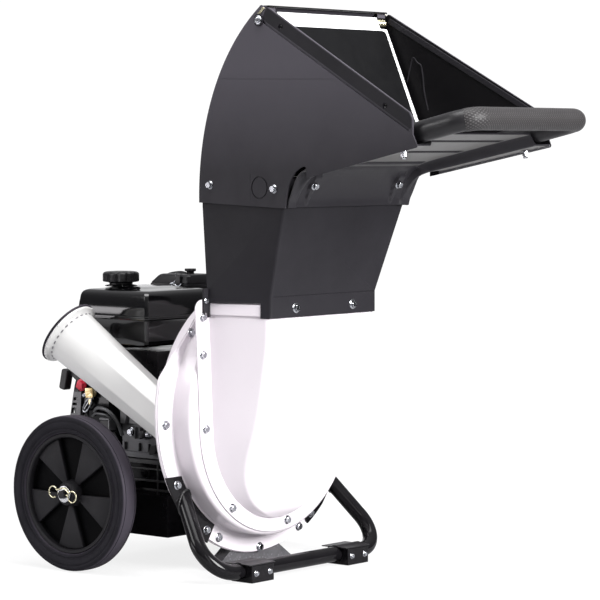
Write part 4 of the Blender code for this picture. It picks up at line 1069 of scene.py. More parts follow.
def housing():
    x0, x1, x2 = X_REAR, X_FLANGE - 4, X_FLANGE
    hub_r = 103
    z = SHAFT_Z
    rings = [flange_ring(x1, 0.0), flange_ring(x1 + 0.5, 0.0), flange_ring(x2 - 0.5, 0.0), flange_ring(x2, 0.4),
             circle(x2, 0, z, REAR_R - SHEET), circle(x0 + SHEET, 0, z, REAR_R - SHEET),
             circle(x0 + SHEET, 0, z, hub_r - SHEET), circle(153, 0, z, hub_r - SHEET), circle(153, 0, z, 22),
             circle(150, 0, z, 22), circle(150, 0, z, hub_r - 7)]
    rings += [circle(x, 0, z, r) for x, r in fillet(150, hub_r - 7, 157, hub_r, -1)]
    rings += [circle(157, 0, z, hub_r), circle(x0 - 4, 0, z, hub_r)]
    rings += [circle(x, 0, z, r) for x, r in fillet(x0 - 4, hub_r, x0, hub_r + 4, 1)]
    rings += [circle(x0, 0, z, hub_r + 4), circle(x0, 0, z, REAR_R - 7)]
    rings += [circle(x, 0, z, r) for x, r in fillet(x0, REAR_R - 7, x0 + 7, REAR_R, -1)]
    rings += [circle(x0 + 7, 0, z, REAR_R), circle(x1, 0, z, REAR_R)]
    ob = raw("housing_rear_fine", loft(rings, loop=True))
    merge(ob, box(202, 225, -56, 56, 40, 100))
    merge(ob, turned([(0, -40), (36, -40), (36, 40), (0, 40)], Vector(CONE_BASE), cone_dir(), 64))
    dress(ob, "gloss_white", "housing_rear", sharp=28)

    f0, f1 = X_FLANGE + GAP, X_FLANGE + 3.3
    rings = [flange_ring(f0, 1.5), flange_ring(f1 - 0.5, 1.5), flange_ring(f1, 2.0), circle(f1, 0, z, DRUM_R + 2.5)]
    rings += [circle(x, 0, z, r) for x, r in fillet(f1, DRUM_R + 2.5, f1 + 2.5, DRUM_R, -1)]
    rings += [circle(f1 + 2.5, 0, z, DRUM_R), circle(X_FRONT - 9, 0, z, DRUM_R)]
    rings += [circle(x, 0, z, r) for x, r in fillet(X_FRONT - 9, DRUM_R, X_FRONT, DRUM_R - 9, 1, 8)]
    rings += [circle(X_FRONT, 0, z, DRUM_R - 9), circle(X_FRONT, 0, SCOOP_Z, 178), circle(X_FRONT - SHEET, 0, SCOOP_Z, 178),
              circle(X_FRONT - SHEET, 0, z, DRUM_R - SHEET - 7), circle(X_FRONT - SHEET - 7, 0, z, DRUM_R - SHEET),
              circle(f0, 0, z, DRUM_R - SHEET)]
    ob = raw("housing_front_fine", loft(rings, loop=True))
    dress(ob, "gloss_white", "housing_front", sharp=28)
    # flange bolts: heads on the front side, weld nuts behind
    for y, zz in ((-194, 472), (-268, 300), (-117, 69), (5, 37), (125, 65), (194, 472), (268, 300), (233.5, 181),
                  (-60, 561), (60, 561)):
        hex_bolt((f1, y, zz), (1, 0, 0), 9.4, 6.0, 6.6, group="housing", turn=0.3 + y * 0.01)
        dome_nut((x1, y, zz), (-1, 0, 0), 6.2, 5.0, group="housing_nuts", mat="zinc_plate")
    for y, zz in ((-240.0, 183.0), (-157.0, 88.5), (229.5, 183.5), (157.0, 88.5)):
        hex_bolt((240.8, y, zz), (1, 0, 0), 8.8, 5.8, 6.6, group="brackets", turn=0.2 + y * 0.01)
        dome_nut((x1, y, zz), (-1, 0, 0), 6.2, 5.0, group="housing_nuts", mat="zinc_plate")
    # finished surfaces for the crankshaft, impeller, blades, flails, flail pins and impeller bolt
    refine("crankshaft", "ground_steel", 0.6)
    refine("impeller", "ground_steel", 0.5)
    for k in (1, 2):
        refine("chipper_blade_%d" % k, "ground_steel", 0.3)
        refine("flail_pin_%d" % k, "zinc_plate", 0.5)
    for k in (1, 2, 3, 4):
        refine("flail_%d" % k, "ground_steel", 0.5)
    refine("impeller_bolt", "zinc_plate", 0.5)


def scoop_half(z):
    if z >= SCOOP_Z:
        return SCOOP_R + (z - SCOOP_Z) * 11.0 / 223.0
    return math.sqrt(max(SCOOP_R ** 2 - (SCOOP_Z - z) ** 2, 0.0))


KEEL = [(101, 290), (119, 302), (146, 306), (178, 314), (209, 325), (250, 344), (290, 363), (349, 379),
        (406, 391), (454, 400), (511, 403.5), (560, 404)]


def scoop_keel(z):
    return smooth_values(KEEL, z) - 0.15


def scoop_section(z, inset, x_rear, round_r=14.0, steps=8):
    yb = scoop_half(z) - inset
    xf = scoop_keel(z) - inset
    yf = scoop_half(z) * 0.805 - inset
    r = min(round_r, max(yf * 0.6, 2.0))
    poly = rounded_poly([(x_rear, -yb), (xf, -yf), (xf, yf), (x_rear, yb)], [0, r, r, 0], steps)
    return [(p[0], p[1], z) for p in poly]


def collar_section(z, inset, x_rear, steps=8):
    poly = rounded_poly([(x_rear, -196 + inset), (401.6 - inset, -155.2 + inset), (401.6 - inset, 155.2 - inset),
                         (x_rear, 196 - inset)], [0, 11, 11, 0], steps)
    return [(p[0], p[1], z) for p in poly]


def chute():
    poly = []
    for k in range(97):
        a = math.radians(-90 + 180 * k / 96)
        poly.append((BASE_R * math.sin(a), BASE_Z - BASE_R * math.cos(a)))
    poly += [(226, 367), (230, 443)]
    top = [(234, 505)] + [(215 + 19.5 * math.cos(math.radians(a)), 518.5 + 19.5 * math.sin(math.radians(a)))
                          for a in range(5, 91, 8)]
    poly += top + [(-y, z) for y, z in reversed(top)] + [(-230, 443), (-226, 367)]
    x0 = X_FRONT + GAP
    ob = raw("shredder_chute_fine", prism(poly, x0, x0 + SHEET, "X"))
    zs = [102.5, 106, 110, 116, 124, 134, 146, 160, 178, 196, 214, 232, 250, 270, 290, 310, 330, 352, 374, 396, 418,
          440, 462, 484, 503]
    outer = [scoop_section(z, 0, x0 + 1.2) for z in zs]
    outer += [collar_section(z, 0, x0 + 1.2) for z in (503.4, 545)]
    merge(ob, loft(outer), "UNION")
    zi = [109, 116, 127, 147, 178, 209, 250, 290, 349, 406, 454, 503]
    inner = [scoop_section(z, 5.2, x0 - 30, 10, 4) for z in zi]
    inner += [collar_section(z, SHEET, x0 - 30, 4) for z in (506, 560)]
    merge(ob, loft(inner))
    dress(ob, "gloss_white", "shredder_chute", sharp=30, bevel=0.5, limit=50)
    for y, zz in ((215, 505), (215, 433), (207, 291), (131, 132)):
        for s in (-1, 1):
            if y == 131 and s > 0:
                continue
            hex_bolt((x0 + SHEET, s * y, zz), (1, 0, 0), 9.0, 6.0, 6.6, group="chute", turn=0.4 + s * y * 0.013)
    hex_bolt((x0 + SHEET, 33, 92), (1, 0, 0), 9.0, 6.0, 6.6, group="chute", turn=0.7)
    # weld nuts on the back of the flange plate where it stands clear of the drum
    for s in (-1, 1):
        for zz in (505, 433):
            dome_nut((x0, s * 222, zz), (-1, 0, 0), 6.0, 6.0, group="chute_nuts", mat="gloss_white")

    # locating bar below the adapter on each side: a flat leg on the chute wall and a hemmed lip above
    for s in (-1, 1):
        def wall(x, off):
            ln = math.hypot(119.1, 40.8)
            return (x + 40.8 / ln * off, s * (196 - (x - 282.5) * 0.3426 + 119.1 / ln * off))
        rows = []
        for x in (295.0, 394.0):
            a, b = wall(x, -0.6), wall(x, 1.3)
            rows.append([(a[0], a[1], 487), (b[0], b[1], 487), (b[0], b[1], 512), (a[0], a[1], 512)])
        piece("locating_leg_" + side(s), loft(rows), "gloss_white", body="chassis", sharp=30, bevel=0.35)
        rows = []
        for x in (286.5, 385.0):
            p = [wall(x, o) for o in (0.4, 4.9, 4.9, 3.4, 3.4, 0.4)]
            zz = (511.5, 509.0, 530.8, 530.8, 514.5, 514.5)
            drop = (x - 286.5) / 98.5 * 1.5
            rows.append([(q[0], q[1], h - drop) for q, h in zip(p, zz)])
        piece("locating_lip_" + side(s), loft(rows), "gloss_white", body="chassis", sharp=30, bevel=0.4)


def cone():
    d = cone_dir()
    b = Vector(CONE_BASE)
    n = 192
    outer = [(39.5, -60), (41.2, 20), (42.6, 52), (44.2, 90), (46.3, 130), (48.4, 172), (50.6, 214), (53.0, 260),
             (55.2, 300), (55.9, 306), (57.4, 309.8), (60.2, 312.8), (63.6, 314.9), (65.8, 316.0), (66.5, 317.2),
             (66.5, 320.2), (65.7, 321)]
    inner = [(64, 321), (59.5, 316.8), (56.8, 313.4), (53.6, 307), (52.4, 300), (50, 250), (36.6, 20), (33.5, -60)]

    def facet(a, r, h):
        w = min(max((235.0 - h) / 90.0, 0.0), 1.0)
        w = w * w * (3 - 2 * w)
        step = math.pi / 4
        q = (a + math.radians(CONE_TURN)) % step - step / 2
        flat = math.cos(step / 2) / math.cos(q) * 1.012
        return r * ((1 - w) + w * flat)
    ob = raw("chipper_cone_fine", turned(outer + inner, b, d, n, closed=True,
                                         shape=lambda a, r, h: facet(a, r, h) if (r, h) in outer else r))
    merge(ob, box(X_REAR - GAP, 330, -420, 60, 100, 420))
    dress(ob, "cone_enamel", "chipper_cone", sharp=40)
    prof = soft([(62.5, 321.4), (67.3, 321.4), (68.5, 323.4), (67.3, 325.6), (62.5, 325.6)], 0.8, 3)
    prof = rounded_poly([(62.5, 321.4), (67.9, 321.4), (68.5, 322.6), (68.3, 324.6), (67.0, 325.6), (62.9, 325.6),
                         (62.5, 325.2)], 0.5, 3)
    piece("chipper_mouth_ring_fine", turned(prof, b, d, 128, closed=True), "tyre_rubber", "chipper_mouth_ring",
          sharp=45)
    # rivets of the lip, and the crimps where it is folded out of the cone; the crimps are grey, painted shade along the
    # crease
    d_, u, v = frame_of(d)
    for k in range(8):
        a = math.radians(22.5 + 45 * k)
        p = b + d * 317.5 + (u * math.cos(a) + v * math.sin(a)) * 66.2
        dome_nut(p, u * math.cos(a) + v * math.sin(a), 2.4, 1.2, group="lip_rivets", mat="cone_enamel")
    bm = new_mesh()
    for k in range(26):
        a0 = 2 * math.pi * k / 26
        rows = []
        for q in range(7):
            a = a0 + 0.150 * q / 6
            e = math.sin(math.pi * q / 6) ** 0.5 if 0 < q < 6 else 0.0
            out = u * math.cos(a) + v * math.sin(a)
            c = b + d * 308.6 + out * 56.6
            rows.append([c + out * (x * (0.2 + 0.6 * e)) + d * (z * (0.2 + 0.6 * e))
                         for x, z in ((-1.6, -1.4), (1.1, -1.6), (1.9, 0.0), (1.3, 1.5), (-1.4, 1.6))])
        loft(rows, bm=bm)
    piece("lip_crimps_shaded", bm, "galvanised", body="chassis", sharp=60)
    # weld flange where the cone meets the drum's rear wall
    n2 = 96
    rows = []
    axis_x = d
    for i in range(n2):
        a = 2 * math.pi * i / n2
        # point where the cone's surface line meets the plane X = 191.6
        dirv = u * math.cos(a) + v * math.sin(a)
        base = b + dirv * 40.0
        t = (191.3 - base.x) / axis_x.x
        p = base + axis_x * t
        out = Vector((0, p.y - b.y, p.z - b.z)).normalized()
        w = 3.0 + 0.3 * math.sin(i * 1.3)
        rows.append([p + out * (w * math.cos(g) - 0.4) + Vector((-1, 0, 0)) * (w * math.sin(g))
                     for g in [math.pi * q / 6 for q in range(7)]])
    piece("cone_weld", loft(rows, loop=True), "gloss_white", body="chassis", sharp=60)


def discharge():
    def ring(z, x0, x1, y):
        return [(x0, -y, z), (x1, -y, z), (x1, y, z), (x0, y, z)]
    ob = raw("discharge_hood_fine", loft([ring(8.5, 198, 228.4, 112), ring(42, 198, 228.4, 64),
                                          ring(98, 198, 228.4, 62)]))
    merge(ob, loft([ring(1.5, 199.5, 226.9, 120.5), ring(42, 199.5, 226.9, 62.4), ring(120, 199.5, 226.9, 60)]))
    merge(ob, turned([(0, 140), (REAR_R + 0.45, 140), (REAR_R + 0.45, 260), (0, 260)], (0, 0, SHAFT_Z), (1, 0, 0), NA))
    dress(ob, "galvanised", "discharge_hood", sharp=30, bevel=0.35)
    for s in (-1, 1):
        prof = [(s * 64.4, 47.5), (s * 66.0, 46.6), (s * 105.5, 18.2), (s * 106, 16.2), (s * 104.5, 16.2)]


# ================================================================= hopper
PANEL_Y, PANEL_K, PANEL_T, ADAPT_TOP = 184.0, 0.073, 4.0, 768.0
ROD = (411.0, 1069.0)
FLAP_TILT = math.radians(23.4)
FLAP_LEN = 277.0


def panel_y(x, off=0.0):
    return PANEL_Y + off + (x - 418.0) * PANEL_K


def bezier(p0, p1, p2, p3, n):
    out = []
    for k in range(n + 1):
        t = k / n
        out.append(tuple((1 - t) ** 3 * a + 3 * (1 - t) ** 2 * t * b + 3 * (1 - t) * t * t * c + t ** 3 * e
                         for a, b, c, e in zip(p0, p1, p2, p3)))
    return out


def back_curve(off=0.0, n=14):
    return bezier((236 + off, 721), (233 + off, 860 - off * 0.3), (282 + off, 1005 - off),
                  (403 + off * 0.7, 1092 - off), n)


def panel_solid(pts, s, a, b):
    """Plate between two offsets from the panel's outer face, following its flare."""
    return loft([[(x, s * panel_y(x, a), z) for x, z in pts], [(x, s * panel_y(x, b), z) for x, z in pts]])


def band(line, width):
    """Closed outline of a strip of the given width along a 2D line."""
    left, right = [], []
    for i, p in enumerate(line):
        a = line[max(i - 1, 0)]
        b = line[min(i + 1, len(line) - 1)]
        tx, tz = b[0] - a[0], b[1] - a[1]
        ln = math.hypot(tx, tz)
        w = width(i / (len(line) - 1)) if callable(width) else width
        left.append((p[0] - tz / ln * w / 2, p[1] + tx / ln * w / 2))
        right.append((p[0] + tz / ln * w / 2, p[1] - tx / ln * w / 2))
    return left + list(reversed(right))


def disc(cx, cz, r, n=48):
    return [(cx + r * math.cos(2 * math.pi * i / n), cz + r * math.sin(2 * math.pi * i / n)) for i in range(n)]


SLOT_LINE = [(463.0, 700), (466.5, 714), (469.5, 727), (474.5, 743), (482, 758), (491.5, 771), (502, 781), (513, 788.6)]


def side_panel(s):
    pts = [(p[0], p[1]) for p in back_curve(0, 40)]
    pts += rounded_poly([(416, 1090), (774, 889), (781, 878), (781, 850), (792, 827), (525, 771), (500, 767),
                         (470, 713)], [4, 10, 6, 0, 4, 8, 20, 0], 8)
    ob = raw("hopper_panel_" + side(s) + "_fine", panel_solid(pts, s, 0.0, -PANEL_T))
    # lower strip: its face leans inwards below the fold line
    fold = [(512, 792.3), (550, 800.8), (789.5, 849.9), (815, 855)]
    drop = [(518, 764.0), (556, 773.0), (794.5, 822.0), (820, 827)]
    lean = []
    for (xa, za), (xb, zb) in zip(fold, drop):
        lean.append([(xa, s * panel_y(xa, 0.02), za + 0.1), (xb, s * panel_y(xb, -3.6), zb),
                     (xb, s * panel_y(xb, 6.0), zb), (xa, s * panel_y(xa, 6.0), za + 0.1)])
    merge(ob, loft(lean))
    # notch between the panel's lower edge and the ramp's margin
    notch = [(463.4, 704), (465.2, 712.3), (468.5, 731), (475.0, 756.5), (482.5, 770), (491.9, 781.3), (502, 787.6),
             (513.5, 791.6), (518.5, 790.5), (518.5, 762), (500, 690), (463, 690)]
    merge(ob, panel_solid(notch, s, 6.0, -9.0))
    # groove under the front flange
    groove = [(404, 1063), (773, 857)]
    merge(ob, panel_solid(band(groove, 4.4), s, 3.0, -2.6))
    # faint horizontal seam
    merge(ob, panel_solid(band([(262, 957.2), (330, 955.4), (470, 952.6), (590, 951.0)], 1.4), s, 3.0, -0.5))
    # knock-out: a ring groove on a shallow square
    merge(ob, panel_solid(rounded_poly([(374, 727), (425.5, 727), (425.5, 777), (374, 777)], 3, 3), s, 3.0, -0.35))
    ring = new_mesh()
    rows = []
    for r, off in ((21.4, 3.0), (21.4, -2.2), (18.9, -2.2), (18.9, 3.0)):
        rows.append([(x, s * panel_y(x, off), z) for x, z in disc(398.4, 751, r, 64)])
    merge(ob, loft(rows, loop=True, bm=ring))
    # screw holes of the front flange
    for x, z in ((454.1, 1049.3), (715.4, 900.6)):
        merge(ob, panel_solid(disc(x, z, 5.8, 32), s, 3.0, -2.6))
    dress(ob, "moulded_charcoal", "hopper_panel_" + side(s), sharp=28, bevel=0.7, seg=2, limit=35)
    rim = [(405.8, 1065.9), (417.4, 1087.0), (772.0, 888.0), (778.6, 877.0), (778.6, 861.0), (774.4, 859.8)]
    ob = raw("panel_rim_" + side(s), panel_solid(rim, s, 0.45, -0.4))
    for x, z in ((454.1, 1049.3), (715.4, 900.6)):
        merge(ob, panel_solid(disc(x, z, 5.8, 32), s, 3.0, -2.6))
    dress(ob, "adapter_charcoal", body="chassis", sharp=30, bevel=0.2)
    rows = []
    for x, z in ((540, 774.6), (660, 799.8), (788, 826.6)):
        rows.append([(x, s * panel_y(x, -PANEL_T + 0.3), z), (x, s * panel_y(x, -PANEL_T - 1.2), z),
                     (x, s * panel_y(x, -PANEL_T - 1.2), z + 5.6), (x, s * panel_y(x, -PANEL_T + 0.3), z + 5.6)])
    piece("panel_foot_hem_" + side(s), loft(rows), "galvanised", body="chassis", sharp=30, bevel=0.3)
    for x, z in ((454.1, 1049.3), (715.4, 900.6)):
        y = panel_y(x, -2.6)
        prof = [(0, -0.2), (4.0, -0.2), (4.0, 1.2), (3.2, 1.9), (1.7, 2.1), (1.5, 1.1), (0, 1.0)]
        piece("flange_screw_%s_%d" % (side(s), int(x)), turned(prof, (x, s * y, z), (-PANEL_K, s, 0), 24),
              "satin_black", body="chassis", sharp=30)
    # bolts with big flanges: hinge rod's end, adapter bolts
    nrm = (-PANEL_K, s, 0)
    x, z = 398.0, 1064.0
    prof = [(6.0, 0.1), (11.6, 0.1), (11.9, 1.0), (11.6, 2.4), (6.0, 2.4)]
    piece("rod_washer_" + side(s), turned(prof, (x, s * panel_y(x), z), nrm, 40, closed=True), "tyre_rubber",
          body="chassis", sharp=40)
    hex_bolt((x, s * panel_y(x, 2.4), z), nrm, 9.6, 5.6, 5.4, group="hopper_rod_" + side(s), rim=1.8)
    for x, z in ((266.0, 754.8), (437.0, 749.1)):
        hex_bolt((x, s * panel_y(x), z), nrm, 8.4, 5.6, 7.0, group="hopper_" + side(s), turn=x)
    # folded hinge tag of the rod, seen at the panel's top corner
    tag = [(394, 1075.5), (398.5, 1073.5), (413.5, 1085.0), (409.5, 1088.0)]
    piece("hinge_tag_" + side(s), panel_solid(tag, s, 1.6, 0.2), "yellow_zinc_plate", body="chassis", sharp=30,
          bevel=0.4)
    # inner side: folded front flange of the sheet and a pressed rib line
    flange = [(425, 1079), (770, 887.5), (764, 878.5), (421, 1069)]
    piece("panel_hem_" + side(s), panel_solid(flange, s, -PANEL_T + 0.6, -PANEL_T - 2.4), "adapter_charcoal",
          body="chassis", sharp=30, bevel=0.8, seg=2)
    rows = []
    line = spline([(464.9, 954.1, 0), (471.8, 981.3, 0), (478.8, 1000.7, 0), (489, 991, 0), (497.4, 984.8, 0),
                   (502, 962, 0), (504.5, 938.1, 0), (509, 917, 0), (513.9, 899.1, 0)], 5)
    n = len(line) - 1
    for i, p in enumerate(line):
        a, b = line[max(i - 1, 0)], line[min(i + 1, n)]
        ln = (b - a).length
        tx, tz = (b.x - a.x) / ln, (b.y - a.y) / ln
        row = []
        for g in range(7):
            c = -1 + 2 * g / 6
            px, pz = p.x + tz * c * 1.9, p.y - tx * c * 1.9
            row.append((px, s * panel_y(px, -PANEL_T - 1.3 * math.cos(c * math.pi / 2) + 0.1), pz))
        row.append((p.x, s * panel_y(p.x, -PANEL_T + 1.0), p.y))
        rows.append(row)
    piece("panel_rib_" + side(s), loft(rows), "adapter_charcoal", body="chassis", sharp=60)


def adapter():
    def sec(z, xr, yr, xf, yf, r=8, steps=6):
        poly = rounded_poly([(xr, -yr), (xf, -yf), (xf, yf), (xr, yr)], [3, r, r, 3], steps)
        return [(p[0], p[1], z) for p in poly]
    k = PANEL_T + GAP
    outer = [sec(504, 285.2, 206, 407, 158.7), sec(545, 285.2, 206, 407, 158.7),
             sec(714, 239.5, panel_y(239, -k), 459.5, panel_y(459, -k)),
             sec(ADAPT_TOP, 239.5, panel_y(239, -k), 467, panel_y(467, -k))]
    ob = raw("hopper_adapter_fine", loft(outer))
    t = 3
    inner = [sec(490, 280, 201.5, 404, 155.9, 6), sec(545, 280, 201.5, 404, 155.9, 6),
             sec(548, 288.2, 202, 404, 155.7, 6),
             sec(714, 242.5, panel_y(239, -k - t), 456.3, panel_y(456, -k - t), 6),
             sec(ADAPT_TOP + 20, 242.5, panel_y(239, -k - t), 465, panel_y(465, -k - t), 6)]
    merge(ob, loft(inner))
    for s in (-1, 1):
        y0, y1 = sorted((s * 120, s * 230))
        merge(ob, box(289.5, 387, y0, y1, 480, 532.5))
    for s in (-1, 1):
        y0, y1 = sorted((s * 200.6, s * 216.3))
        merge(ob, box(284.9, 288.6, y0, y1, 512.7, 559), "UNION")
    # groove over the front skirt
    merge(ob, box(405.7, 412, -152, 152, 543.2, 545.4))
    dress(ob, "adapter_charcoal", "hopper_adapter", sharp=28, bevel=0.9, seg=3, limit=24)
    for y in (-86.0, 86.0):
        hex_bolt((407, y, 521.5), (1, 0, 0), 10.0, 6.2, 6.8, group="skirt", turn=y, rim=1.8)
    for s in (-1, 1):
        hex_bolt((288.6, s * 209.5, 536), (1, 0, 0), 5.6, 3.6, 4.2, group="lugs", turn=0.2)


def hopper_back():
    t = 3
    a = back_curve(2.5, 40)
    b = back_curve(2.5 + t, 40)
    rings = []
    for (xa, za), (xb, zb) in zip(a, b):
        ya = panel_y(xa, -PANEL_T - GAP)
        yb = panel_y(xb, -PANEL_T - GAP)
        rings.append([(xa, -ya, za), (xb, -yb, zb), (xb, yb, zb), (xa, ya, za)])
    keep = [r for r in rings if r[0][2] > ADAPT_TOP + 1]
    below = [r for r in rings if r[0][2] <= ADAPT_TOP + 1][-1]
    f = (ADAPT_TOP + 0.2 - below[0][2]) / (keep[0][0][2] - below[0][2])
    foot = [tuple(p + (q - p) * f for p, q in zip(a_, b_)) for a_, b_ in zip(below, keep[0])]
    foot = [(p[0], p[1], ADAPT_TOP + 0.2) for p in foot]
    ob = raw("hopper_back_fine", loft([foot] + keep))
    yl = panel_y(398, -PANEL_T - GAP)
    lip = [(400, 1089.5), (417.4, 1089.5), (419.2, 1087.6), (420.4, 1088.4), (418.4, 1091), (400, 1091)]
    piece("top_lip", prism(lip, -yl + 0.4, yl - 0.4, "Y"), "satin_black", body="chassis", sharp=30, bevel=0.2)
    merge(ob, box(396, 414, yl - 24, yl, 1079.5, 1091), "UNION")
    merge(ob, box(396, 414, -yl, -yl + 24, 1079.5, 1091), "UNION")
    # stiffening beads pressed into the sheet
    dress(ob, "moulded_charcoal", "hopper_back", sharp=28, bevel=0.6)
    for k, z in enumerate((830.0, 910.0, 985.0)):
        x = None
        for (xa, za), (xb, zb) in zip(a[:-1], a[1:]):
            if za <= z <= zb:
                f = (z - za) / (zb - za)
                x = xa + (xb - xa) * f
                tx, tz = xb - xa, zb - za
        ln = math.hypot(tx, tz)
        nx, nz = -tz / ln, tx / ln
        rows = []
        for y in [-140 + 280 * q / 40 for q in range(41)]:
            e = max(0.0, min(1.0, (140 - abs(y)) / 14.0))
            e = e * e * (3 - 2 * e)
            h = 2.6 * e + 0.02
            row = []
            for g in range(9):
                c = -1 + 2 * g / 8
                w = 9.0
                up = h * (math.cos(math.pi * c) + 1) / 2
                row.append((x + tx / ln * c * w + nx * (up - 0.2), y, z + tz / ln * c * w + nz * (up - 0.2)))
            row.append((x + nx * -1.2, y, z + nz * -1.2))
            rows.append(row)
        piece("back_bead_%d" % (k + 1), loft(rows), "moulded_charcoal", body="chassis", sharp=50)


RAMP = [(470, 714, 0), (474, 728, 0), (486, 748, 3), (503, 766, 9), (524, 776, 16), (562, 783.8, 19.5), (600, 791.5, 20),
        (700, 812, 21), (786, 829.5, 21)]


def ramp():
    """Thermoformed ramp: flat margins beside the panels, a middle pressed up, cross ribs and bolt pockets."""
    front = {714: 2.5, 728: 5.0, 748: 8.0, 766: 11.5}
    line = spline([(x, front.get(z, up), z) for x, z, up in RAMP], 8)
    line = [(p.x, p.z, max(p.y, 0.0)) for p in line]
    s_at = [0.0]
    for a, b in zip(line[:-1], line[1:]):
        s_at.append(s_at[-1] + math.hypot(b[0] - a[0], b[1] - a[1]))
    total = s_at[-1]
    ns, ny = 190, 150

    def point(s):
        for i in range(len(line) - 1):
            if s <= s_at[i + 1] + 1e-9:
                f = (s - s_at[i]) / (s_at[i + 1] - s_at[i])
                a, b = line[i], line[i + 1]
                tx, tz = b[0] - a[0], b[1] - a[1]
                ln = math.hypot(tx, tz)
                return a[0] + tx * f, a[1] + tz * f, a[2] + (b[2] - a[2]) * f, tx / ln, tz / ln
        return line[-1][0], line[-1][1], line[-1][2], 1.0, 0.2

    def step(v, a, b):
        t = max(0.0, min(1.0, (v - a) / (b - a)))
        return t * t * (3 - 2 * t)

    def emboss(x, y, z, up):
        """Height (mm) inwards of the sheet; positive goes up, away from the underside."""
        edge = 148.0 if x > 520 else 156.0
        h = up * (1 - step(abs(y), edge, edge + (17.0 if x > 520 else 5.0)))
        # edges turned up beside the panels' notches
        h += 9.8 * step(x, 476, 508) * (1 - step(x, 526, 548)) * step(abs(y), 167, 175)
        # narrow grooves across the raised middle
        for xc in (540.0, 633.0, 726.0):
            if abs(x - xc) < 16:
                across = step(x, xc - 9, xc - 4.5) * (1 - step(x, xc + 4.5, xc + 7.5))
                h += 6.0 * across * step(146 - abs(y), 0, 10)
        # pads of the two front bolts, running out downwards as teardrops
        for yc in (-127.5, 127.5):
            if 712 < z < 776 and x < 508 and abs(y - yc) < 20:
                t = max(0.0, min(1.0, (758.0 - z) / 40.0))
                w = 11.0 - 7.5 * t
                h -= 6.5 * (1 - step(abs(y - yc), w - 1.6, w + 0.8)) * (1 - step(z, 764, 770)) * step(z, 716, 724) * (1 - 0.6 * t)
        return h
    rows_o, rows_i = [], []
    for i in range(ns + 1):
        s = total * i / ns
        x, z, up, tx, tz = point(s)
        nx, nz = -tz, tx
        ro, ri = [], []
        for j in range(ny + 1):
            q = -1 + 2 * j / ny
            for off, row in ((0, ro), (3, ri)):
                y = q * panel_y(x, -PANEL_T - GAP)
                h = emboss(x, y, z, up) + off
                px = x + nx * h
                row.append((px, q * panel_y(px, -PANEL_T - GAP), z + nz * h))
        rows_o.append(ro)
        rows_i.append(ri)
    bm = new_mesh()
    vo = [[bm.verts.new(p) for p in r] for r in rows_o]
    vi = [[bm.verts.new(p) for p in r] for r in rows_i]
    for i in range(ns):
        for j in range(ny):
            bm.faces.new((vo[i][j], vo[i][j + 1], vo[i + 1][j + 1], vo[i + 1][j]))
            bm.faces.new((vi[i][j], vi[i + 1][j], vi[i + 1][j + 1], vi[i][j + 1]))
    for i in range(ns):
        bm.faces.new((vo[i][0], vo[i + 1][0], vi[i + 1][0], vi[i][0]))
        bm.faces.new((vo[i][ny], vi[i][ny], vi[i + 1][ny], vo[i + 1][ny]))
    for j in range(ny):
        bm.faces.new((vo[0][j], vi[0][j], vi[0][j + 1], vo[0][j + 1]))
        bm.faces.new((vo[ns][j], vo[ns][j + 1], vi[ns][j + 1], vi[ns][j]))
    piece("hopper_ramp_fine", bm, "ramp_charcoal", "hopper_ramp", sharp=40)
    for y in (-127.5, 127.5):
        hex_bolt((487.6, y, 755.0), (0.80, 0, -0.30), 8.6, 5.6, 7.0, group="ramp", turn=0.3 + y)
    for y in (-188.0, 188.0):
        hex_bolt((744.0, y, 818.6), (0.10, 0, -1.0), 7.6, 5.2, 8.6, group="ramp_low", turn=y)
        prof = [(0, 0), (4.2, 0), (4.2, 4.0), (3.4, 5.0), (0, 5.0)]
        piece("ramp_stud_" + side(y), turned(prof, (744.8, y, 810.4), (0.10, 0, -1.0), 20), "zinc_plate", body="chassis",
              sharp=40)


HANDLE_Y, HANDLE_X, HANDLE_R, HANDLE_SLOPE, HANDLE_Z = 178.0, 880.0, 20.5, 0.225, 877.8


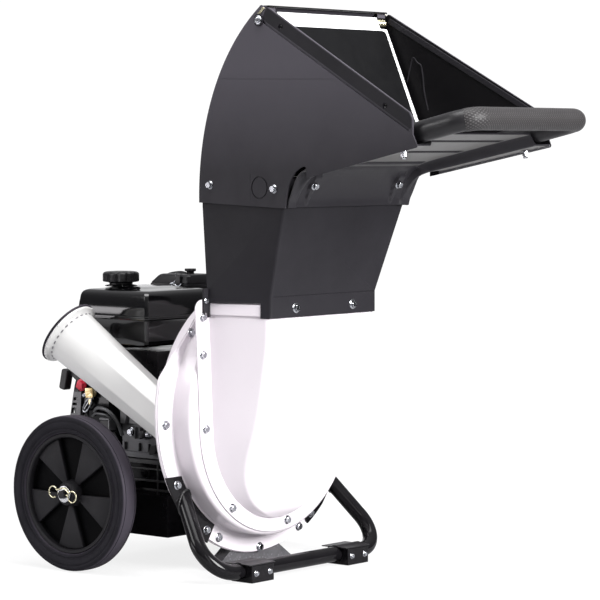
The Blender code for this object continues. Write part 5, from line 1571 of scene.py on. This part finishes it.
def handle():
    x_end = 694.0

    def z_at(x):
        return HANDLE_Z - (HANDLE_X - x) * HANDLE_SLOPE
    corners = [(x_end, -HANDLE_Y, z_at(x_end)), (HANDLE_X, -HANDLE_Y, z_at(HANDLE_X)),
               (HANDLE_X, HANDLE_Y, z_at(HANDLE_X)), (x_end, HANDLE_Y, z_at(x_end))]
    path = rounded_path(corners, 36, 15)
    piece("handle_fine", tube(path, HANDLE_R - 0.7, 64), "moulded_black", "handle", sharp=40, bevel=1.0)
    # sleeve over the cross bar, drawn on a finer path so that the knurl follows it
    cad = rounded_path(corners, 36, 5)
    keep = cad[3:11]
    first, last = keep[0], keep[-1]
    fine = rounded_path(corners, 36, 15)
    i0 = min(range(len(fine)), key=lambda i: (fine[i] - first).length)
    i1 = min(range(len(fine)), key=lambda i: (fine[i] - last).length)
    pts = fine[i0:i1 + 1]
    dense = []
    for a, b in zip(pts[:-1], pts[1:]):
        k = max(1, int((b - a).length / 4.0))
        dense += [a + (b - a) * (q / k) for q in range(k)]
    dense.append(pts[-1])
    n = 96
    outer = tube_rings(dense, lambda i: HANDLE_R + (0.5 if 1 < i < len(dense) - 2 else (0.3 if 0 < i < len(dense) - 1 else -0.2)), n)
    inner = tube_rings(dense, HANDLE_R - 0.55, n)
    bm = new_mesh()
    rows = [[bm.verts.new(p) for p in r] for r in outer + inner[::-1]]
    uv = bm.loops.layers.uv.new("along")
    length = [0.0]
    for a, b in zip(dense[:-1], dense[1:]):
        length.append(length[-1] + (b - a).length)
    ls = length + length[::-1]
    girth = 2 * math.pi * (HANDLE_R + 2.2)
    m = len(rows)
    for i in range(m):
        a, b = rows[i], rows[(i + 1) % m]
        for k in range(n):
            j = (k + 1) % n
            f = bm.faces.new((a[k], a[j], b[j], b[k]))
            uvs = [(ls[i], girth * k / n), (ls[i], girth * (k + 1) / n), (ls[(i + 1) % m], girth * (k + 1) / n),
                   (ls[(i + 1) % m], girth * k / n)]
            for lp, q in zip(f.loops, uvs):
                lp[uv].uv = (q[0] * 0.05, q[1] * 0.05)
    piece("handle_grip_fine", bm, "knurled_grip", "handle_grip", sharp=50)


def flap():
    o = (ROD[0], 0, ROD[1])
    refine("flap_rod", "zinc_plate", 0.5)
    c, s_ = math.cos(FLAP_TILT), math.sin(FLAP_TILT)
    along = Vector((s_, 0, -c))
    out = Vector((c, 0, s_))

    def pt(u, v, w):
        return Vector(o) + along * u + out * v + Vector((0, w, 0))
    wt, wb = 150.0, 172.0
    outline = rounded_poly([(-8.5, wt), (16, wt), (16, 170), (FLAP_LEN, wb), (FLAP_LEN, -wb), (16, -170), (16, -wt),
                            (-8.5, -wt)], [1, 1.5, 3, 8, 8, 3, 1.5, 1], 5)
    rings = [[pt(u, v, w) for u, w in outline] for v in (6.0, 8.2)]
    ob = raw("leaf_flap_fine", loft(rings))
    barrel = [(5.4, -wt), (8.2, -wt), (8.2, wt), (5.4, wt)]
    merge(ob, turned(barrel, o, (0, 1, 0), 48, closed=True), "UNION")
    dress(ob, "flap_white", "leaf_flap", sharp=30, bevel=0.5)
    # plain dark film on the flap's face, bare of any print
    film = rounded_poly([(20, 163), (254, 160), (254, -160), (20, -163)], 9, 6)
    rings = [[pt(u, v, w) for u, w in film] for v in (8.15, 8.45)]
    piece("flap_film", loft(rings), "label_film", body="hopper_flap", sharp=30, bevel=0.12)
    for s in (-1, 1):
        path = []
        turns, steps = 8.0, 20
        total = int(turns * steps)
        for k in range(total + 1):
            a = 2 * math.pi * k / steps
            path.append((o[0] + 7.6 * math.cos(a), s * (151.6 + 24.5 * k / total), o[2] + 7.6 * math.sin(a)))
        piece("flap_spring_" + side(s) + "_fine", tube(path, 1.3, 10), "yellow_zinc_plate", "flap_spring_" + side(s),
              sharp=60)


# ================================================================= engine
def engine():
    o = (0, 0, SHAFT_Z)
    for node, mat, bv in (("cylinder", "sand_cast", 0.7), ("valve_cover", "satin_black", 0),
                          ("flywheel", "sand_cast", 0.8), ("muffler", "ground_steel", 0),
                          ("carburettor", "sand_cast", 1.2), ("spark_plug_cap", "tyre_rubber", 1.0),
                          ("oil_dipstick", "moulded_black", 0.6), ("choke_lever", "zinc_plate", 0.5),
                          ("throttle_lever", "zinc_plate", 0.5), ("air_cleaner_knob", "moulded_black", 0.5)):
        refine(node, mat, bv)
    # crankcase: side cover with a seam, cast ribs, bolts and bosses on its near side
    ob = raw("crankcase_fine", box(-46, 130, -90, 78, 217, 330))
    merge(ob, box(-30, 112, -90, 78, 326, 372), "UNION")
    merge(ob, box(-46, 130, -100, 78, 207, 217.5), "UNION")
    merge(ob, turned([(0, 128), (62, 128), (62, 149.6), (0, 149.6)], o, (1, 0, 0), 96), "UNION")
    merge(ob, turned([(0, 121), (12.95, 121), (12.95, 170), (0, 170)], o, (1, 0, 0), 48))
    merge(ob, box(-60, 140, -92, -88.4, 269.4, 271.2))
    merge(ob, box(-60, 140, -92, -88.6, 236.0, 237.4))
    dress(ob, "crankcase_cast", "crankcase", sharp=30, bevel=2.4, seg=4, limit=40)
    details = new_mesh()
    prism([(-42, 272.5), (-30, 272.5), (-22, 298), (-26, 318), (-44, 318)], -100, -88, "Y", details)
    prism([(-22, 273), (34, 273), (40, 288), (14, 305), (-18, 302)], -96.5, -88, "Y", details)
    for x in (-6, 8, 22):
        prism([(x - 1.6, 243), (x + 1.6, 243), (x + 1.2, 267), (x - 1.2, 267)], -97.5, -88, "Y", details)
    for x in (66, 84, 102, 118):
        prism([(x - 2.0, 222), (x + 2.0, 222), (x + 1.4, 322), (x - 1.4, 322)], -95.5, -88, "Y", details)
    for z in (226, 248, 292):
        prism([(44, z - 1.8), (126, z - 1.8), (126, z + 1.8), (44, z + 1.8)], -94.2, -88, "Y", details)
    for x in (-36, 4, 30):
        prism([(x - 1.5, 219), (x + 1.5, 219), (x + 1.1, 235), (x - 1.1, 235)], -95.5, -88, "Y", details)
    piece("crankcase_ribs", details, "crankcase_cast", body="chassis", sharp=30, bevel=0.8, seg=2)
    for x, z in ((-15, 257), (62, 304), (104, 304), (110, 232)):
        prof = [(0, -2), (10.5, -2), (9.8, 6.4), (8.8, 7.4), (0, 7.4)]
        piece("crankcase_boss_%d_%d" % (int(x) + 100, int(z)), turned(prof, (x, -90, z), (0, -1, 0), 32), "crankcase_cast",
              body="chassis", sharp=40)
        hex_bolt((x, -97.4, z), (0, -1, 0), 9.2, 5.4, 6.4, group="crankcase", turn=x)
    # cast foot on the deck: top flange, two waist ribs, webs and a bolt boss
    foot = new_mesh()
    prism([(-44, 196), (86, 196), (86, 204), (-44, 204)], -101, -92.3, "Y", foot)
    prism([(-42, 184), (84, 184), (84, 187), (-42, 187)], -98, -92.3, "Y", foot)
    prism([(-42, 160), (84, 160), (84, 164), (-42, 164)], -98, -92.3, "Y", foot)
    for x in (-38, 56):
        prism([(x - 1.8, 147), (x + 1.8, 147), (x + 1.8, 197), (x - 1.8, 197)], -97, -92.3, "Y", foot)
    turned([(0, -0.3), (9.0, -0.3), (8.4, 5.6), (7.4, 6.4), (0, 6.4)], (24, -92.6, 176), (0, -1, 0), 32, bm=foot)
    piece("engine_foot", foot, "foot_cast", body="chassis", sharp=30, bevel=0.8, seg=2)
    hex_bolt((24, -99.0, 176), (0, -1, 0), 8.4, 5.0, 6.0, group="foot", turn=0.4, mat="satin_black")
    # drain pipe with its hexagon cap, pointing forwards along the side cover
    prof = soft([(0, 0), (5.4, 0), (5.4, 13), (7.6, 14), (7.6, 27), (6.6, 28.4), (0, 28.4)], 0.6, 3)
    piece("drain_pipe", turned(prof, (22, -103, 253.5), (1, 0, 0.14), 28), "zinc_plate", body="chassis", sharp=35)
    # governor bracket: bent strip round a black block
    strip = [(-74, 283.5), (-49, 283.5), (-46.4, 281), (-46.4, 260), (-49.6, 260), (-49.6, 279.8), (-74, 279.8)]
    piece("governor_bracket", prism(strip, -128, -108, "Y"), "cover_grey", body="chassis", sharp=30, bevel=0.5)
    piece("governor_block", prism(rounded_poly([(-73, 279), (-50.2, 279), (-50.2, 254), (-73, 254)], 2.0, 3), -126, -104,
                                  "Y"), "moulded_black", body="chassis", sharp=30, bevel=1.0)
    piece("switch_box", prism(rounded_poly([(46, 232), (64, 238), (60, 218), (43, 214)], 2.5, 3), -108, -88, "Y"),
          "moulded_black", body="chassis", sharp=30, bevel=1.2)
    # breather hose that bends down along the side cover, and a second pipe behind it
    path = spline([(-96, -118, 294), (-86, -122, 301.5), (-72, -123, 302.5), (-59, -122, 299.5), (-47, -120, 291.5),
                   (-39, -116, 280), (-35, -110, 265), (-35, -102, 249)], 6)
    piece("breather_hose", tube(path, 3.6, 16), "cover_grey", body="chassis", sharp=50)
    path = spline([(-104, -116, 284), (-92, -120, 290.5), (-78, -121, 291), (-64, -120, 289), (-54, -117, 284)], 6)
    piece("fuel_pipe", tube(path, 2.4, 12), "cover_grey", body="chassis", sharp=50)

    # fan shroud and recoil cover
    prof = [(113, -58), (113.7, -57.6), (116.5, -58.4), (116.5, -142), (115.6, -146), (113.4, -149), (110, -150),
            (18, -150), (18, -146.5), (110.5, -146.5), (113, -144)]
    ob = raw("fan_shroud_fine", turned(prof, o, (1, 0, 0), 144, closed=True))
    hood = loft([[(-62, -113, 330), (72, -113, 330), (72, -106, 330), (-62, -106, 330)],
                 [(-62, -113, 400), (72, -113, 400), (72, -106, 400), (-62, -106, 400)]])
    merge(ob, hood, "UNION")
    merge(ob, box(-62, 72, -113, 70, 388, 423), "UNION")
    dress(ob, "satin_black", "fan_shroud", sharp=30, bevel=1.6, seg=3, limit=40)
    prof = [(22, -150.4), (106, -150.4), (108, -152), (108, -163), (106.6, -167.5), (103, -171.5), (96, -175),
            (86, -177.4), (64, -180), (40, -182), (0, -182), (0, -178.5), (39, -178.5), (64, -176.5), (85, -174),
            (94, -172), (100, -169), (103.6, -165.5), (104.5, -162), (104.5, -153.5), (22, -153.5)]
    ob = raw("recoil_cover_fine", turned(prof, o, (1, 0, 0), 144, closed=True))
    # louvres: slots through the rim and the face
    tools = []
    for k in range(30):
        a = 2 * math.pi * (k + 0.5) / 30
        m = Matrix.Translation(Vector((0, 0, SHAFT_Z))) @ Matrix.Rotation(a, 4, "X")
        bm = box(-166.5, -155, 100, 112, -6.5, 6.5)
        bmesh.ops.transform(bm, matrix=m, verts=bm.verts)
        tools.append(bm)
    for k in range(20):
        a = 2 * math.pi * (k + 0.5) / 20
        m = Matrix.Translation(Vector((0, 0, SHAFT_Z))) @ Matrix.Rotation(a, 4, "X")
        bm = box(-190, -168, 50, 88, -3.4, 3.4)
        bmesh.ops.transform(bm, matrix=m, verts=bm.verts)
        tools.append(bm)
    joined = new_mesh()
    for bm in tools:
        tmp = bpy.data.meshes.new("t")
        bm.to_mesh(tmp)
        bm.free()
        joined.from_mesh(tmp)
        bpy.data.meshes.remove(tmp)
    merge(ob, joined)
    dress(ob, "cover_grey", "recoil_cover", sharp=30, bevel=0.5)
    for k in range(4):
        a = math.radians(45 + 90 * k)
        prof = soft([(0, -1), (7, -1), (7, 2), (4.6, 3), (4.6, 6.5), (0, 6.5)], 0.5, 2)
    for k in range(3):
        a = math.radians(30 + 120 * k)
        hex_bolt((-150.4 - 0.6, 110.8 * math.cos(a), SHAFT_Z + 110.8 * math.sin(a)), (-1, 0, 0), 4.6, 3.4, 4.4,
                 group="recoil", turn=0.3)
    ob = raw("cowl_louvre", prism([(-153, 331), (-131, 332.5), (-134, 284), (-162.5, 283)], -121, -113, "Y"))
    for poly in ([(-152.5, 319.5), (-142.5, 320.5), (-143, 314.5), (-154.0, 313.5)],
                 [(-156.0, 308.5), (-144, 309.5), (-144.5, 304.0), (-156.8, 303.0)],
                 [(-158.5, 298.5), (-145.5, 299.0), (-146.5, 287.5), (-160.0, 287.0)]):
        merge(ob, prism(poly, -130, -100, "Y"))
    dress(ob, "cover_grey", body="chassis", sharp=30, bevel=0.7)
    # starter grip: a rounded block standing for the T handle
    gx, gy, gz = -174, -120, 356
    shape = rounded_poly([(gx - 13, gz - 19), (gx + 4, gz - 23), (gx + 13, gz + 18), (gx - 4, gz + 22)], 4.5, 5)
    ob = raw("recoil_grip_fine", prism(shape, gy - 10, gy + 9, "Y"))
    dress(ob, "moulded_black", "recoil_grip", sharp=30, bevel=2.6, seg=4)
    # profile for a guide eye on the shroud; no piece is made from it
    prof = soft([(0, 0), (8, 0), (8, 3), (5.2, 6), (5.2, 9), (0, 9)], 0.6, 3)

    # fuel tank: two shells on a seam flange
    def ring(z, inset, r=24):
        c = 6.2 if r > 15 else 6.2 * r / 15.0
        poly = rounded_poly([(-141 + inset, -130 + inset), (60 - inset - c, -130 + inset), (60 - inset, -130 + inset + c),
                             (60 - inset, 74 - inset), (-141 + inset, 74 - inset)],
                            [0.45 * r, 2.0, 2.0, 0.45 * r, 0.45 * r], 12)
        return [(p[0], p[1], z) for p in poly]
    rows = [ring(430, 21, 16), ring(430.8, 18, 18), ring(433, 15, 19), ring(437, 12.2, 20), ring(446, 10.6, 21),
            ring(466, 8.4, 22), ring(482, 6.4, 22), ring(484.2, 4.2, 22), ring(484.9, 1.0, 24), ring(485.6, 0.1, 24),
            ring(487.2, 0.0, 24), ring(487.7, 0.5, 24), ring(488.2, 0.5, 24), ring(488.7, 0.0, 24), ring(490.4, 0.1, 24),
            ring(491.1, 1.0, 24), ring(491.8, 3.2, 22), ring(494, 3.5, 22), ring(503, 3.55, 22), ring(509, 3.8, 22), ring(515, 4.4, 22), ring(521, 5.4, 22),
            ring(529, 6.6, 21), ring(534, 8.4, 20), ring(537.4, 11.0, 19), ring(539.7, 14.8, 18), ring(541.1, 19.6, 17),
            ring(541.9, 26, 16), ring(542.7, 38, 14), ring(544.3, 50, 12), ring(546.4, 60, 10), ring(547, 68, 9)]
    piece("fuel_tank_fine", loft(rows), "tank_gloss", "fuel_tank", sharp=40)
    # fuel cap: scalloped grip on a neck
    co = (-77, -60, 547.4)
    lobes = 11

    def scallop(a, r, h):
        if h < 8 or h > 26.6 or r < 30:
            return r
        q = (a * lobes / (2 * math.pi)) % 1.0
        e = abs(q - 0.5) * 2
        cut = max(0.0, 1 - e / 0.42)
        return r - 3.4 * math.sqrt(cut) * (0.6 if h > 25 else 1.0)
    prof = [(0, 0), (23, 0), (23.4, 0.6), (23.4, 5.2), (26, 6.6), (35.4, 8.0), (36.6, 8.8), (37, 10.5), (37, 22.5),
            (36.4, 24.6), (34.6, 26.6), (31.5, 27.9), (28, 28.5), (14, 28.5), (13.4, 27.9), (0, 27.7)]
    piece("fuel_cap_fine", turned(prof, co, (0, 0, 1), 176, shape=scallop), "moulded_black", "fuel_cap", sharp=38)
    prof = [(24.2, -2.0), (31.5, -1.2), (33.0, -0.4), (33.0, 0.6), (31.0, 1.4), (25.0, 2.4), (24.2, 1.8)]
    piece("filler_ring", turned(prof, co, (0, 0, 1), 96, closed=True), "tank_gloss", body="chassis", sharp=40)

    # air cleaner: lid with a sloping end, on a narrower base
    def ac(z, xa, xb, ya, yb, r=8):
        return [(x, y, z) for x, y in rounded_poly([(xa, ya), (xb, ya), (xb, yb), (xa, yb)], r, 6)]
    rows = [ac(478, -92, -28, 90, 154), ac(479.5, -95, -26, 88, 156), ac(540.0, -95, -26, 88, 156),
            ac(540.8, -132, -24, 85, 159.4), ac(541.8, -134.6, -24, 84, 160), ac(545.2, -133.4, -24, 84, 160),
            ac(545.9, -131.6, -25, 85, 159), ac(546.6, -131.0, -25, 85, 159), ac(547.3, -131.6, -24, 84, 160),
            ac(560.6, -114.6, -24.6, 86, 158), ac(563.6, -110.8, -26.4, 88.6, 155.6), ac(564.8, -107.0, -29, 91.6, 152.6),
            ac(565, -103, -32, 95, 149)]
    piece("air_cleaner_fine", loft(rows), "moulded_black", "air_cleaner", sharp=32)
    path = spline([(-92, 96, 544), (-106, 100, 548), (-112, 108, 554), (-108, 118, 560.4), (-96, 124, 563.6),
                   (-80, 126, 564.8), (-66, 124, 562), (-56, 119, 556)], 6)
    piece("intake_hose", tube(path, 5.2, 16), "moulded_black", body="chassis", sharp=50)
    # throttle linkage, its cable clamp, and the plate that they stand on
    plate = [(-118, 536.5), (-20, 531.0), (-20, 528.4), (-112, 531.2), (-120, 534.8)]
    piece("linkage_plate", prism(plate, 60, 82.6, "Y"), "zinc_plate", body="chassis", sharp=30, bevel=0.4)
    bm = tube(spline([(-74, 78, 535), (-70, 80, 545), (-62, 82, 549), (-56, 83, 556), (-58, 84, 566)], 5), 1.7, 10)
    tube(spline([(-60, 78, 534), (-52, 80, 542), (-46, 82, 546), (-44, 83, 553)], 5), 1.4, 10, bm=bm)
    tube(spline([(-66, 76, 540), (-58, 77, 545), (-48, 78, 541), (-40, 79, 546)], 5), 1.2, 10, bm=bm)
    piece("throttle_linkage", bm, "zinc_plate", body="chassis", sharp=50)
    piece("cable_clamp", prism(rounded_poly([(-57, 532), (-43, 532), (-43, 561), (-47, 566), (-56, 561)], 2.2, 3), 79, 92, "Y"),
          "moulded_black", body="chassis", sharp=30, bevel=1.0)

    # red stop switch: a wedge-shaped knob on a round base
    so = Vector((-132, -116.9, 346))
    prof = soft([(0, 0), (12.6, 0), (12.6, 3.2), (11.4, 5.0), (0.01, 5.0)], 0.8, 3)[:-1] + [(0, 5.0)]
    ob = raw("engine_switch_fine", turned(prof, so, (0, -1, 0), 64))
    base = [(-143.4, 341.4), (-138, 352.4), (-128.6, 355.4), (-121.2, 348.6), (-123.4, 338.2), (-134.6, 335.8)]
    rows = []
    for y, k in ((-119, 1.0), (-123.5, 0.97), (-126.2, 0.86)):
        rows.append([(so.x + (x - so.x) * k, y, so.z + (z - so.z) * k) for x, z in base])
    c, q = math.cos(math.radians(24)), math.sin(math.radians(24))
    rows.append([(so.x + (a * c - b * q), -127.0, so.z + (a * q + b * c))
                 for a, b in ((-9.6, -1.3), (-5.0, 1.9), (4.6, 2.1), (9.6, 1.5), (8.4, -1.9), (-4.4, -2.1))])
    merge(ob, loft(rows), "UNION")
    dress(ob, "red_moulded", "engine_switch", sharp=32, bevel=0.5, seg=2)
    # fuel tap: square brass body with a lever, and the spigot beside it
    fo = Vector((-100, -117.2, 331))
    prof = soft([(0, 0), (9.4, 0), (9.4, 4.0), (8.6, 5.4), (8.6, 8.2), (0.01, 8.2)], 0.6, 3)[:-1] + [(0, 8.2)]
    ob = raw("fuel_valve_fine", turned(prof, fo, (0, -1, 0), 8))
    lever = rounded_poly([(-114.5, 341.0), (-94.0, 342.0), (-92.6, 323.0), (-112.0, 321.6)], 2.4, 4)
    merge(ob, prism(lever, -127.6, -121.6, "Y"), "UNION")
    merge(ob, prism(rounded_poly([(-111.5, 338.6), (-97.0, 339.4), (-96.6, 331.6), (-111.0, 331.0)], 1.6, 3), -129.4, -126.0,
                    "Y"), "UNION")
    merge(ob, prism(rounded_poly([(-107.0, 324.0), (-99.5, 324.0), (-101.0, 308.0), (-105.6, 308.0)], 1.6, 3), -125.0, -121.6,
                    "Y"), "UNION")
    dress(ob, "brass_turned", "fuel_valve_lever", sharp=32, bevel=0.6)
    prof = soft([(0, 0), (3.8, 0), (3.8, 7), (5.0, 8), (5.0, 12), (3.4, 14), (0, 14)], 0.5, 3)
    piece("tap_spigot", turned(prof, (-112.0, -120.2, 327.0), (-1, 0, -0.1), 24), "zinc_plate", body="chassis", sharp=35)
    # spring clip of the fuel hose: a long wire loop
    loop = []
    c, q = math.cos(math.radians(50)), math.sin(math.radians(50))
    for k in range(29):
        a = math.radians(20 + 335.0 * k / 28)
        u_, v_ = 18.5 * math.cos(a), 7.0 * math.sin(a)
        loop.append((-110.5 + u_ * c - v_ * q, -124.0 - 1.5 * math.cos(a), 307.5 + u_ * q + v_ * c))
    bm = tube(spline(loop, 3), 2.1, 12)
    tube([(-122, -119, 296), (-119, -123, 300), (-105, -123, 316.5), (-102, -119, 320)], 1.7, 10, bm=bm)
    piece("hose_clip", bm, "zinc_plate", body="chassis", sharp=50)
    path = spline([(-104, -112, 323), (-110, -116, 315), (-118, -117, 303), (-121, -114, 290), (-118, -108, 279)], 6)
    piece("fuel_hose", tube(path, 3.6, 14), "moulded_black", body="chassis", sharp=50)
    # starter rope's end between the grip and the cover
    arm = rounded_poly([(-170, 371), (-166, 378), (-138, 364), (-136, 353), (-142, 352)], 2.0, 3)
    piece("grip_rest", prism(arm, -121, -113.5, "Y"), "moulded_black", body="chassis", sharp=30, bevel=1.0)


# ================================================================= build
make_camera()
make_light()
make_floor()
make_materials()
base_frame_details()
for side_sign in (-1, 1):
    wheel(side_sign)
    hitch_pin(side_sign)
stand()
housing()
chute()
cone()
discharge()
adapter()
for side_sign in (-1, 1):
    side_panel(side_sign)
hopper_back()
ramp()
handle()
flap()
engine()
make_bolts()
bpy.context.view_layer.update()
